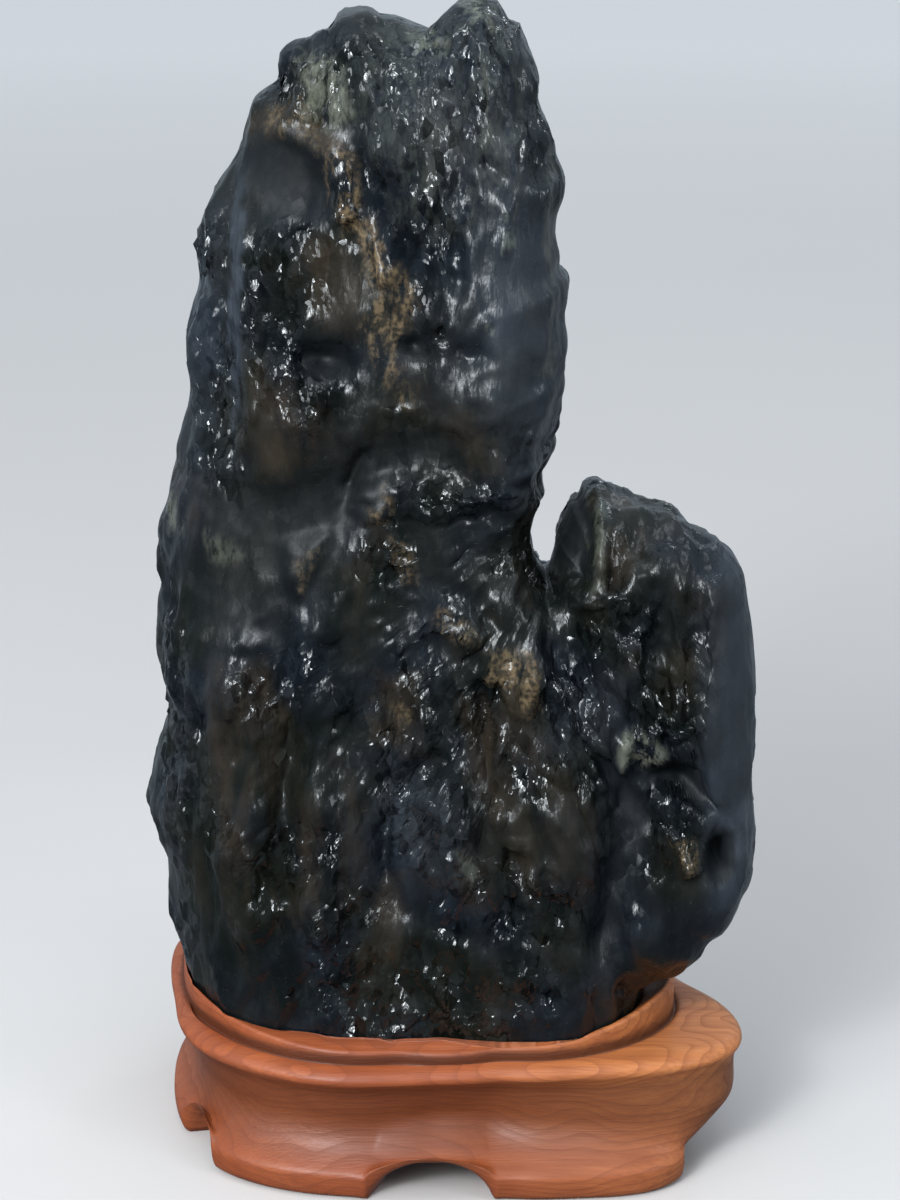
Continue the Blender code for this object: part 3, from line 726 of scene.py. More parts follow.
def relief(points, shapes, ridges, bowls):
    """How far a face stands out: each shape rises or sinks by an eased step as wide as its sides,
    each ridge has a cross-section that is a bell of the distance to its line, and each bowl is a
    soft ellipse. Noise bends them all, and makes sides and ridges uneven."""
    where = np.stack([points[..., 0], np.zeros(points.shape[:-1]), points[..., 1]], axis=-1)
    bend = np.stack([layered(where / RELIEF_BEND_SIZE, seed, 3) for seed in (90, 95)], axis=-1)
    uneven = np.clip(1.5 + 1.3 * noise(where / UNEVEN_SIZE, 97), 0.8, 2.4)
    broken = np.clip(0.8 + 1.4 * noise(where / BROKEN_SIZE, 98), 0.1, 1.5)
    points = points + RELIEF_BEND * bend
    out = np.zeros(points.shape[:-1])
    for depth, side, outline in shapes:
        step = np.clip(inside_by(points, outline) / (side * uneven) + 0.5, 0, 1)
        out += depth * step * step * (3 - 2 * step)
    for half_width, depth, line in ridges:
        out += depth * broken * np.exp(-((distance_to(points, line) / half_width) ** 2))
    for depth, *ellipse in bowls:
        out += depth * mound(points, *ellipse, 1)
    return out


def patches(points, marks):
    """The strongest of several soft-edged ellipses at each point, 0 to 1."""
    found = np.zeros(points.shape[:-1])
    for *ellipse, strength in marks:
        found = np.maximum(found, strength * mound(points, *ellipse, PATCH_STEEPNESS))
    return found


def stained(points, marks):
    """The strongest of several soft-edged outlines at each point, 0 to 1."""
    found = np.zeros(points.shape[:-1])
    for strength, softness, outline in marks:
        found = np.maximum(found, strength * np.clip(inside_by(points, outline) / softness + 0.5, 0, 1))
    return found


# ---- Stone ----
def spine():
    """The outer and the inner point of every section, closer together near both tops, with the
    corners of both outlines eased, and the number of the section that each stretch starts at."""
    steps = [max(SHORTEST_STRETCH, reach_along(outside)[-1]) for _, _, outside, _, _ in STRETCHES]
    counts = np.round(np.array(steps) / sum(steps) * SECTIONS).astype(int)
    starts = np.concatenate([[0], np.cumsum(counts)])
    outer, inner = [], []
    for number, (_, _, outside, _, inside) in enumerate(STRETCHES):
        last = number == len(STRETCHES) - 1
        fractions = np.arange(counts[number] + last) / counts[number]
        if number == 0:
            fractions = fractions**CROWDING
        if last:
            fractions = 1 - (1 - fractions) ** CROWDING
        outer.append(along(outside, fractions))
        inner.append(along(inside, fractions))
    outer, inner = np.concatenate(outer), np.concatenate(inner)
    for line in (outer, inner):
        for _ in range(CORNER_PASSES):
            line[1:-1] = (line[:-2] + 2 * line[1:-1] + line[2:]) / 4
    return outer, inner, starts


def crown_lift(points, crown):
    """How far above the straight line between its ends a crown lies, at each point's x."""
    x, height = np.array(sorted(crown), float).T
    straight = np.interp(points[..., 0], x[[0, -1]], height[[0, -1]])
    return np.interp(points[..., 0], x, height) - straight


def face_points(count):
    """Points across every section, as (section, point, x and height): straight from the outer to
    the inner outline, closer together near both. A section that would pass below the foot starts
    at the foot instead, and both tops are lifted to their crowns."""
    outer, inner, _ = spine()
    below = np.clip(BASE_HEIGHT - outer[:, 1], 0, None)
    start = (below / (below + inner[:, 1] - BASE_HEIGHT))[:, None]
    even = (1 - np.cos(np.pi * np.arange(count + 1) / count)) / 2
    across = start + (1 - start) * even
    points = outer[:, None] + across[..., None] * (inner - outer)[:, None]
    from_top = reach_along(outer)[:, None]
    from_end = from_top[-1] - from_top
    points[..., 1] += np.clip(1 - from_top / CROWN_FADE, 0, 1) * crown_lift(points, CROWN)
    points[..., 1] += np.clip(1 - from_end / CROWN_FADE, 0, 1) * crown_lift(points, LOBE_CROWN)
    return points


def swell(points):
    """0 on the outline, rising as a quarter round to 1 where the stone has its full depth. What it
    rises by is the distance to a stretch of outline over how far in that stretch rounds over, for
    whichever stretch gives the least."""
    outer, inner, starts = spine()
    edges = [(CROWN_ROUND, CROWN), (LOBE_ROUND, LOBE_CROWN)]
    for (_, outer_round, _, inner_round, _), start, stop in zip(STRETCHES, starts, starts[1:]):
        edges += [(outer_round, outer[start:stop + 1]), (inner_round, inner[start:stop + 1])]
    inward = np.min([distance_to(points, line) / radius for radius, line in edges], axis=0)
    return np.sqrt(1 - (1 - np.clip(inward, 0, 1)) ** 2)


def depth_of(points, side):
    """Depth of the front (0) or back (1) from the middle plane: the marks blended by how near they
    are, each with a bell-shaped weight."""
    x, height, *depth = np.array(DEPTHS, float).T
    away = (points[..., :1] - x) ** 2 + (points[..., 1:] - height) ** 2
    weight = np.exp(-away / (2 * DEPTH_REACH**2)) + 1e-9
    return (weight @ depth[side]) / weight.sum(axis=-1)


def stone_face(count, side):
    """One face of the stone: y is the middle plane, less (front) or plus (back) the swell times the
    depth, with relief that dies away sooner towards the outline."""
    points = face_points(count)
    marks = ((FRONT_SHAPES, FRONT_RIDGES, FRONT_BOWLS), (BACK_SHAPES, BACK_RIDGES, []))[side]
    round_out = swell(points)
    out = round_out * depth_of(points, side) + round_out**3 * relief(points, *marks)
    y = TWIST * points[..., 0] + (out if side else -out)
    return np.stack([points[..., 0], y, points[..., 1]], axis=-1)


def add_object(name, data):
    """An object in the scene with the given mesh, lamp or camera."""
    thing = bpy.data.objects.new(name, data)
    bpy.context.scene.collection.objects.link(thing)
    return thing


def ring_quads(rings, around):
    """Quads that join each closed ring of points to the next."""
    ring, spot = np.meshgrid(np.arange(rings - 1), np.arange(around), indexing="ij")
    after = (spot + 1) % around
    quads = np.stack([ring * around + spot, ring * around + after,
                      (ring + 1) * around + after, (ring + 1) * around + spot], axis=-1)
    return quads.reshape(-1, 4)


def add_piece(name, points, quads, material):
    """A smooth-shaded mesh object from points in mm and quads, welded where points coincide."""
    mesh = bpy.data.meshes.new(name)
    mesh.vertices.add(len(points))
    mesh.vertices.foreach_set("co", (np.asarray(points) * MM).astype(np.float32).ravel())
    mesh.loops.add(quads.size)
    mesh.loops.foreach_set("vertex_index", quads.astype(np.int32).ravel())
    mesh.polygons.add(len(quads))
    mesh.polygons.foreach_set("loop_start", np.arange(0, quads.size, 4, dtype=np.int32))
    mesh.update(calc_edges=True)
    mesh.materials.append(material)
    shape = bmesh.new()
    shape.from_mesh(mesh)
    bmesh.ops.remove_doubles(shape, verts=shape.verts, dist=WELD)
    bmesh.ops.recalc_face_normals(shape, faces=shape.faces)
    shape.to_mesh(mesh)
    shape.free()
    mesh.polygons.foreach_set("use_smooth", np.ones(len(mesh.polygons), bool))
    mesh.update()
    piece = add_object(name, mesh)
    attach(piece, "root")
    return piece


def read_vectors(vertices, name):
    """One vector from each vertex, as an array."""
    values = np.empty(len(vertices) * 3, np.float32)
    vertices.foreach_get(name, values)
    return values.reshape(-1, 3).astype(float)


def places(piece):
    """Where each vertex of a piece is, in mm."""
    return read_vectors(piece.data.vertices, "co") / MM


def front_of(points, fade=FRONT_FADE, middle=0.5):
    """1 on the front of the stone and 0 on its back, changing over so many mm at the middle plane,
    where it has the middle value."""
    return np.clip(middle - (points[:, 1] - TWIST * points[:, 0]) / fade, 0, 1)


def smoothed(where):
    """How smooth the front is at each x and height, 0 to 1: its smooth faces and matte hollows."""
    return np.maximum(patches(where, SMOOTH_FACES), stained(where, SHADED_MATTE_HOLLOWS))


def raggedly(points, seed):
    """x and height, each pushed about by noise, so that patches get ragged edges."""
    push = np.stack([layered(points / RAGGED_SIZE, seed + n, 3) for n in (0, 10)], axis=-1)
    return points[:, [0, 2]] + RAGGED_PUSH * push


def chipped(points):
    """How crumpled the stone is, 0 to 1: patches on the front, and a scatter of them elsewhere."""
    where = raggedly(points, 40)
    scatter = np.clip(layered(points / SCATTER_SIZE, 50, 2) * 2.2, 0, 1)
    front = front_of(points)
    crumpled = np.clip(front * patches(where, CRUMPLED) + SCATTER_CRUMPLED * scatter, 0, 1)
    return crumpled * (1 - CRUMPLED_LOSS * front * smoothed(where))


def worn(points, height, width, tall, seed):
    """Crests of one kind, drawn out up and down."""
    return height * crested(points / (width, width, tall), seed)


def run_of_relief(points):
    """Where crests and chips are looked up for each point: pushed sideways in proportion to height
    at the lower right of the front, so that they lean, and everywhere pushed about by noise."""
    lean = RIGHT_LEAN * ramp(points[:, 0], *LEAN_ACROSS) * ramp(points[:, 2], *LEAN_DOWN)
    run = points.copy()
    run[:, 0] += lean * front_of(points) * (points[:, 2] - LEAN_HEIGHT)
    bend = np.stack([noise(points / RUN_BEND_SIZE, seed) for seed in (1, 2, 3)], axis=-1)
    return run + RUN_BEND * bend


def weather(stone):
    """Moves the stone's points along their normals by the sum of crags, folds and knobs, each finer
    than the last, and chips. The folds and knobs come and go with noise, and the chips are tallest
    where the stone is crumpled. All are weaker on smooth faces, in the notch and at the middle
    plane, where most is left of the crags, and none are inside the stand."""
    points = places(stone)
    normals = read_vectors(stone.data.vertex_normals, "vector")
    x, y, height = points.T
    notch = np.exp(-((x - NOTCH_FOOT[0]) ** 2 + (height - NOTCH_FOOT[1]) ** 2) / NOTCH_REACH**2)
    bared = ramp(height, *BARE_HEIGHTS) * (1 - NOTCH_LOSS * notch)
    faced = FACE_RELIEF * np.clip(np.abs(y - TWIST * x) / EDGE_FADE + 0.25, EDGE_RELIEF, 1)
    smooth = front_of(points) * smoothed(points[:, [0, 2]])
    run = run_of_relief(points)
    there = np.clip(noise(points / COMING_AND_GOING, 27) * 2 + 0.6, 0.1, 1)
    crests = there * (worn(run, *FOLDS) + worn(run, *KNOBS))
    chip = chips(run / CHIP_SIZE, 31) * (CHIP_HEIGHT + CRUMPLED_HEIGHT * chipped(points))
    fine = (1 - SMOOTH_LOSS * smooth) * crests + (1 - CHIP_LOSS * smooth) * chip
    crags = (1 - SMOOTH_LOSS * smooth) * np.maximum(faced, EDGE_CRAGS) * worn(run, *CRAGS)
    points += (bared * (crags + faced * fine))[:, None] * normals
    stone.data.vertices.foreach_set("co", (points * MM).astype(np.float32).ravel())
    stone.data.update()


def mark(mesh, name, values):
    """A number for each vertex, for the material to read."""
    mesh.attributes.new(name, "FLOAT", "POINT").data.foreach_set("value", values.astype(np.float32))


def stain(stone):
    """Writes the stone's stains, crumpled places, matte hollows with painted shade, and painted sheen to
    its vertices. The back gets its stains from noise alone: blotches, and veins along the noise's zero
    line."""
    points = places(stone)
    front = front_of(points)
    where = raggedly(points, 60)
    blotch = np.clip(layered(points / BLOTCH_SIZE, 70, 3) * 2 - 0.2, 0, 1)
    brown = front * stained(where, BROWN_STAINS) + BLOTCH_BROWN * blotch
    vein = np.exp(-((layered(points / VEIN_SIZE, 80, 3) / VEIN_WIDTH) ** 2)) * blotch
    tan = front * stained(where, TAN_STAINS) + (1 - front) * vein
    mark(stone.data, "brown", np.clip(brown, 0, 1))
    mark(stone.data, "tan", np.clip(tan, 0, 1))
    mark(stone.data, "grey_green", front * stained(where, GREY_GREEN_STAINS))
    mark(stone.data, "crumpled", chipped(points))
    # Matte hollows, whose mask also darkens their colour as painted shade.
    mark(stone.data, "matte_and_shade", front * stained(where, SHADED_MATTE_HOLLOWS))
    # Faces that get a painted sheen.
    mark(stone.data, "painted_sheen", front_of(points, PAINTED_SHEEN_FADE, 0.9) * patches(where, PAINTED_SHEEN_FACES))


def make_stone(material):
    """The stone: a grid of sections by points around each, out over the front and back behind."""
    front = stone_face(FRONT_ACROSS, 0)
    back = stone_face(BACK_ACROSS, 1)
    rings = np.concatenate([front, back[:, ::-1]], axis=1)
    count, around, _ = rings.shape
    stone = add_piece("stone", rings.reshape(-1, 3), ring_quads(count, around), material)
    weather(stone)
    stain(stone)
    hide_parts("rock")
    return stone


# ---- Stand ----
def eased(values, passes):
    """A closed row of numbers, each averaged with its neighbours a number of times."""
    for _ in range(passes):
        values = (np.roll(values, 1, axis=-1) + 2 * values + np.roll(values, -1, axis=-1)) / 4
    return values


def plan_radius(plan, angles):
    """Distance from the middle to a plan outline in each direction, its corners eased."""
    plan = np.array(plan, float)
    radius = np.interp(angles, np.arctan2(plan[:, 1], plan[:, 0]), np.hypot(*plan.T), period=2 * np.pi)
    return eased(radius, PLAN_PASSES)


def around_stand(marks, angles):
    """A size given at a few directions, blended to every direction."""
    turns, sizes = zip(*marks)
    return eased(np.interp(np.degrees(angles), turns, sizes, period=360), SIZE_PASSES)


def foot_line(degrees):
    """Height of the stand's lower edge in each direction: 0 on a foot, an arch between two feet."""
    height = np.full(len(degrees), float(ARCH_HEIGHT))
    for (_, start), (stop, _) in zip(FEET, FEET[1:] + FEET[:1]):
        width = (stop - start) % 360
        across = 2 * ((degrees - start) % 360) / width - 1
        arch = ARCH_HEIGHT * np.clip(1 - across**2, 0, 1) ** ARCH_ROUND
        height = np.where((degrees - start) % 360 <= width, arch, height)
    for start, stop in FEET:
        height = np.where((degrees - start) % 360 <= stop - start, 0, height)
    return height


def stone_radius(stone, heights):
    """How far the stone reaches from the middle in each direction at each height: the farthest
    vertex in each cell of a table of directions by heights, eased around."""
    points = places(stone)
    band = points[(points[:, 2] > BASE_HEIGHT - 3) & (points[:, 2] < SOCKET_TOP - 2)]
    turn = np.degrees(np.arctan2(band[:, 1], band[:, 0])) % 360 / 360 * SOCKET_TURNS
    levels = np.arange(BASE_HEIGHT, SOCKET_TOP, SOCKET_STEP)
    level = np.round((band[:, 2] - BASE_HEIGHT) / SOCKET_STEP).astype(int)
    cells = np.clip(level, 0, len(levels) - 1), turn.astype(int) % SOCKET_TURNS
    table = np.zeros((len(levels), SOCKET_TURNS))
    np.maximum.at(table, cells, np.hypot(band[:, 0], band[:, 1]))
    table = np.maximum(table, eased(table, 2))
    rows = np.stack([np.interp(heights, levels, column) for column in table.T], axis=-1)
    spots = np.arange(AROUND) / AROUND * SOCKET_TURNS
    middles = np.arange(SOCKET_TURNS) + 0.5
    return np.stack([np.interp(spots, middles, row, period=SOCKET_TURNS) for row in rows])


def stand_rings(angles):
    """Rings of (radius, height) in every direction: from the underside round the outside and over
    the ledge to the rim of the collar, and from there down the dished floor to the socket."""
    edge, collar, foot = (plan_radius(plan, angles) for plan in (EDGE_PLAN, COLLAR_PLAN, FOOT_PLAN))
    bottom = foot_line(np.degrees(angles))
    lift = bottom / ARCH_HEIGHT
    rim = around_stand(COLLAR_HEIGHTS, angles)
    seat = around_stand(SEAT_HEIGHTS, angles)
    waist = edge - around_stand(WAIST_DEPTHS, angles)
    toe = foot - 4 * lift
    outside = [
        (toe - FOOT_WIDTH, UNDERSIDE_HEIGHT),
        (toe - FOOT_WIDTH, bottom + 1),
        (toe - FOOT_WIDTH + 1, bottom),
        (toe - 5, bottom),
        (toe - 4, bottom + 0.2),
        (toe - 2, bottom + 1.5),
        (toe - 0.8, bottom + 4 - 2 * lift),
        (toe - 0.1, bottom + 8 - 4 * lift),
        (toe, bottom + FOOT_TOE * (1 - 0.7 * lift)),
        (toe - 0.3 * (toe - waist), WAIST_HEIGHT - 16),
        (waist + 0.3 * (toe - waist), WAIST_HEIGHT - 11 + 3 * lift),
        (waist + 0.06 * (toe - waist), WAIST_HEIGHT - 5 + 3 * lift),
        (waist, WAIST_HEIGHT + 2 * lift),
        (0.8 * waist + 0.2 * edge - 0.6, WAIST_HEIGHT + 6 + lift),
        ((waist + edge) / 2 - 2, EDGE_UNDERSIDE - 7),
        (0.25 * waist + 0.75 * edge - 2, EDGE_UNDERSIDE - 3),
        (edge - 1.6, EDGE_UNDERSIDE),
        (edge - 0.5, EDGE_UNDERSIDE + 1),
        (edge, EDGE_UNDERSIDE + 2.5),
        (edge - 0.5, LEDGE_HEIGHT - 2.6),
        (edge - 2.2, LEDGE_HEIGHT - 1),
        (edge - 5, LEDGE_HEIGHT),
        (edge - 7, LEDGE_HEIGHT + 0.4),
        (collar + 3, LEDGE_HEIGHT + 0.5),
        (collar + 1.4, LEDGE_HEIGHT - 0.4),
        (collar + 0.5, LEDGE_HEIGHT - 1.2),
        (collar - 0.2, LEDGE_HEIGHT - 1.2),
        (collar - 0.3, LEDGE_HEIGHT + 1),
        (collar - 0.5, rim - 1.6),
        (collar - 0.9, rim - 0.4),
        (collar - 2, rim + 0.2),
    ]
    inside = [
        (collar - 3.5, 0.85 * rim + 0.15 * seat),
        (collar - 6, 0.5 * rim + 0.5 * seat),
        (collar - 10, 0.2 * rim + 0.8 * seat),
        (collar - 16, seat),
    ]
    return [np.array([np.broadcast_arrays(*ring) for ring in part]) for part in (outside, inside)]


def profile_smoothed(rings, steps):
    """Rings subdivided along the profile by a uniform quadratic spline through their midpoints, so
    that every moulding is rounded."""
    middles = (rings[:-1] + rings[1:]) / 2
    t = (np.arange(steps) / steps)[None, :, None, None]
    before, corner, after = (part[:, None] for part in (middles[:-1], rings[1:-1], middles[1:]))
    curve = (1 - t) ** 2 * before + 2 * t * (1 - t) * corner + t**2 * after
    return np.concatenate([rings[:1], curve.reshape(-1, *rings.shape[1:]), middles[-1:], rings[-1:]])


def kept_clear(rings, reach_at):
    """Rings of (radius, height), each radius no less than the stone's reach at that height, read
    between two whole millimetres, and the gap."""
    row = np.clip(rings[:, 1] - BASE_HEIGHT, 0, len(reach_at) - 1.001)
    low = row.astype(int)
    spot = np.arange(AROUND)
    reach = reach_at[low, spot] * (1 - row + low) + reach_at[low + 1, spot] * (row - low)
    return np.stack([np.maximum(rings[:, 0], reach + SOCKET_GAP), rings[:, 1]], axis=1)


def flat_rings(ring, shares, height):
    """A ring drawn in by shares of its radius, at one height."""
    return np.array([(share * ring[0], np.full(AROUND, height)) for share in shares])


def make_stand(material, stone):
    """The stand: its profile carried round in every direction, down into a socket that fits the
    stone, and closed under the stone and beneath."""
    angles = 2 * np.pi * np.arange(AROUND) / AROUND
    outside, inside = stand_rings(angles)
    rings = profile_smoothed(np.concatenate([outside, inside]), PROFILE_STEPS)
    reach_at = stone_radius(stone, np.arange(BASE_HEIGHT, SOCKET_TOP))
    from_rim = len(rings) - PROFILE_STEPS * len(inside) - 4
    rings[from_rim:] = kept_clear(rings[from_rim:], reach_at)
    wall = np.array([(np.maximum(reach_at[height - BASE_HEIGHT], 1) + SOCKET_GAP,
                      np.full(AROUND, height - SOCKET_GAP)) for height in SOCKET_LEVELS])
    floor = flat_rings(wall[-1], (0.97, 0.5, 0), SOCKET_FLOOR)
    under = flat_rings(rings[0], (0, 0.5, 0.97), UNDERSIDE_HEIGHT)
    rings = np.concatenate([under, rings, wall, floor])
    radius, height = rings[:, 0], rings[:, 1]
    points = np.stack([radius * np.cos(angles), radius * np.sin(angles), height], axis=-1)
    stand = add_piece("wooden_stand", points.reshape(-1, 3), ring_quads(len(rings), AROUND), material)
    paint_collar_and_dish_shade(stand, angles)
    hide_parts("stand")
    return stand


def paint_collar_and_dish_shade(stand, angles):
    """Writes to the stand's vertices where shade is painted: a bell of the distance to the foot of the
    collar, at the ledge's height, and the dished floor, more so towards the lobe."""
    x, y, height = places(stand).T
    collar = np.interp(np.arctan2(y, x), angles, plan_radius(COLLAR_PLAN, angles), period=2 * np.pi)
    from_collar = np.hypot(x, y) - collar
    near_ledge = np.clip(2 - np.abs(height - LEDGE_HEIGHT) / GROOVE_HEIGHT, 0, 1)
    # Painted shade: a dark band at the foot of the collar, and the dish darkened where the lobe overhangs
    # it.
    painted_shade = np.exp(-((from_collar / GROOVE_WIDTH) ** 2)) * near_ledge
    dish = ramp(from_collar, *DISH_FROM_COLLAR) * (height > LEDGE_HEIGHT)
    towards_lobe = 0.45 + 0.5 * ramp(x, *LOBE_SIDE)
    mark(stand.data, "painted_shade", np.maximum(painted_shade, dish * towards_lobe))


# ---- Materials ----
def add_node(material, kind, inputs=None, **settings):
    """A node with its settings, its inputs set to values or joined to other nodes' outputs."""
    tree = material.node_tree
    node = tree.nodes.new(kind)
    for name, value in settings.items():
        setattr(node, name, value)
    for socket, value in (inputs or {}).items():
        if isinstance(value, bpy.types.NodeSocket):
            tree.links.new(value, node.inputs[socket])
        else:
            node.inputs[socket].default_value = value
    return node


def maths(material, operation, *values):
    """A sum done on numbers or other nodes' outputs."""
    inputs = dict(enumerate(values))
    return add_node(material, "ShaderNodeMath", inputs, operation=operation).outputs[0]


def times(material, first, second):
    """One number times another."""
    return maths(material, "MULTIPLY", first, second)


def plus(material, first, second):
    """One number plus another."""
    return maths(material, "ADD", first, second)


def vectors(material, operation, first, second, output="Vector"):
    """A sum done on two vectors."""
    inputs = {0: first, 1: second}
    return add_node(material, "ShaderNodeVectorMath", inputs, operation=operation).outputs[output]


def blend(material, share, first, second):
    """A colour between two, by share. They are inputs 6 and 7 of the mix node."""
    inputs = {0: share, 6: first, 7: second}
    for socket, value in inputs.items():
        if isinstance(value, tuple):
            inputs[socket] = (*value, 1)
    return add_node(material, "ShaderNodeMix", inputs, data_type="RGBA").outputs[2]


def spread(material, value, low, high, to_low=0.0, to_high=1.0):
    """A number stretched so that low to high becomes to_low to to_high, and held there."""
    inputs = {"Value": value, "From Min": low, "From Max": high, "To Min": to_low, "To Max": to_high}
    return add_node(material, "ShaderNodeMapRange", inputs).outputs[0]


def millimetres(material, scale=(1, 1, 1), turn=(0, 0, 0)):
    """The place on the piece in millimetres, stretched and turned."""
    place = add_node(material, "ShaderNodeTexCoord").outputs["Object"]
    inputs = {"Vector": place, "Scale": [part / MM for part in scale], "Rotation": turn}
    return add_node(material, "ShaderNodeMapping", inputs).outputs[0]


def noise_at(material, place, size, detail=3.0, roughness=0.5):
    """Noise of about the given size in mm, 0 to 1."""
    inputs = {"Vector": place, "Scale": 1 / size, "Detail": detail, "Roughness": roughness}
    return add_node(material, "ShaderNodeTexNoise", inputs).outputs[0]


def reading(material, name):
    """A vertex number written by mark()."""
    return add_node(material, "ShaderNodeAttribute", attribute_name=name).outputs["Fac"]


def chips_at(material, place, size):
    """Tilted chips of about the given size in mm: the height of a random plane through each cell."""
    cells = add_node(material, "ShaderNodeTexVoronoi", {"Vector": place, "Scale": 1 / size})
    away = vectors(material, "SUBTRACT", place, cells.outputs["Position"])
    slope = vectors(material, "SUBTRACT", cells.outputs["Color"], (0.5, 0.5, 0.5))
    return vectors(material, "DOT_PRODUCT", away, slope, "Value")


def new_material(name):
    """A material and its shader."""
    material = bpy.data.materials.new(name)
    material.use_nodes = True
    return material, material.node_tree.nodes["Principled BSDF"]


def join(material, output, node, socket):
    """Joins a node's output to another node's input."""
    material.node_tree.links.new(output, node.inputs[socket])


def waxed_black_stone():
    """Near-black stone with brown, tan and grey-green stains and a painted sheen of pale bluish colour
    where faces catch reflections, polished with wax: satin on its smooth faces, glossy where it is
    crumpled into chips, and dull in its hollows, whose colour is darkened towards black as painted shade."""
    stone, shader = new_material("waxed_black_stone")
    place = millimetres(stone)
    streaky = millimetres(stone, (1, 1, 0.35))
    upright = millimetres(stone, (1, 1, 0.65))
    cloud = noise_at(stone, streaky, 14, 4)
    tint = spread(stone, noise_at(stone, place, 48, 2), 0.4, 0.6)
    ragged = spread(stone, noise_at(stone, streaky, 5, 5, 0.7), 0.42, 0.58)
    speckle = spread(stone, noise_at(stone, place, 2.4, 3), 0.4, 0.58, 0.2, 1.0)
    painted_sheen = reading(stone, "painted_sheen")
    matte_and_shade = reading(stone, "matte_and_shade")
    crushed = spread(stone, reading(stone, "crumpled"), 0.1, 0.6)

    dark = blend(stone, tint, BLUE_BLACK, GREEN_BLACK)
    light = blend(stone, tint, BLUE_GREY, BROWN_GREY)
    colour = blend(stone, spread(stone, cloud, 0.35, 0.68), dark, light)
    brown = times(stone, reading(stone, "brown"), spread(stone, cloud, 0.36, 0.62, 0.1, 1.0))
    colour = blend(stone, brown, colour, BROWN)
    green = times(stone, reading(stone, "grey_green"), ragged)
    colour = blend(stone, green, colour, GREY_GREEN)
    tan = times(stone, times(stone, reading(stone, "tan"), ragged), speckle)
    colour = blend(stone, tan, colour, TAN)
    # Painted sheen: pale bluish colour on the faces that catch reflections.
    colour = blend(stone, times(stone, painted_sheen, 0.7), colour, PAINTED_SHEEN_TINT)
    # Painted shade: the hollows darkened towards black.
    colour = blend(stone, times(stone, matte_and_shade, 0.8), colour, PAINTED_HOLLOW_SHADE)
    join(stone, colour, shader, "Base Color")

    satin = spread(stone, cloud, 0.35, 0.65, 0.24, 0.34)
    rough = maths(stone, "SUBTRACT", satin, times(stone, crushed, 0.19))
    rough = plus(stone, rough, times(stone, painted_sheen, 0.12))
    rough = plus(stone, rough, times(stone, matte_and_shade, 0.3))
    join(stone, rough, shader, "Roughness")
    shader.inputs["IOR"].default_value = 1.34

    big_chips = times(stone, chips_at(stone, upright, 5.0), spread(stone, crushed, 0, 1, 0.15, 1.5))
    small_chips = times(stone, chips_at(stone, upright, 2.6), spread(stone, crushed, 0, 1, 0.06, 0.7))
    grit = times(stone, noise_at(stone, streaky, 5, 3), spread(stone, matte_and_shade, 0, 1, 0.8, 0.1))
    height = plus(stone, plus(stone, big_chips, small_chips), grit)
    bump = add_node(stone, "ShaderNodeBump", {"Height": height, "Distance": MM, "Strength": 1.0})
    join(stone, bump.outputs[0], shader, "Normal")
    return stone


def growth_rings(wood, place, along_wood, wander):
    """Growth rings around a pith below and behind, 0 to 1 from the early to the late edge of each
    ring: the distance to the pith in ring widths, pushed about by noise, less its whole number."""
    split = add_node(wood, "ShaderNodeSeparateXYZ", {0: place})
    across = plus(wood, split.outputs[1], -PITH_BEHIND)
    up = plus(wood, split.outputs[2], PITH_BELOW)
    radius = maths(wood, "SQRT", plus(wood, times(wood, across, across), times(wood, up, up)))
    figure = times(wood, wander, spread(wood, along_wood, -40, 110, 46, 80))
    return maths(wood, "FRACT", maths(wood, "DIVIDE", plus(wood, radius, figure), RING_WIDTH))


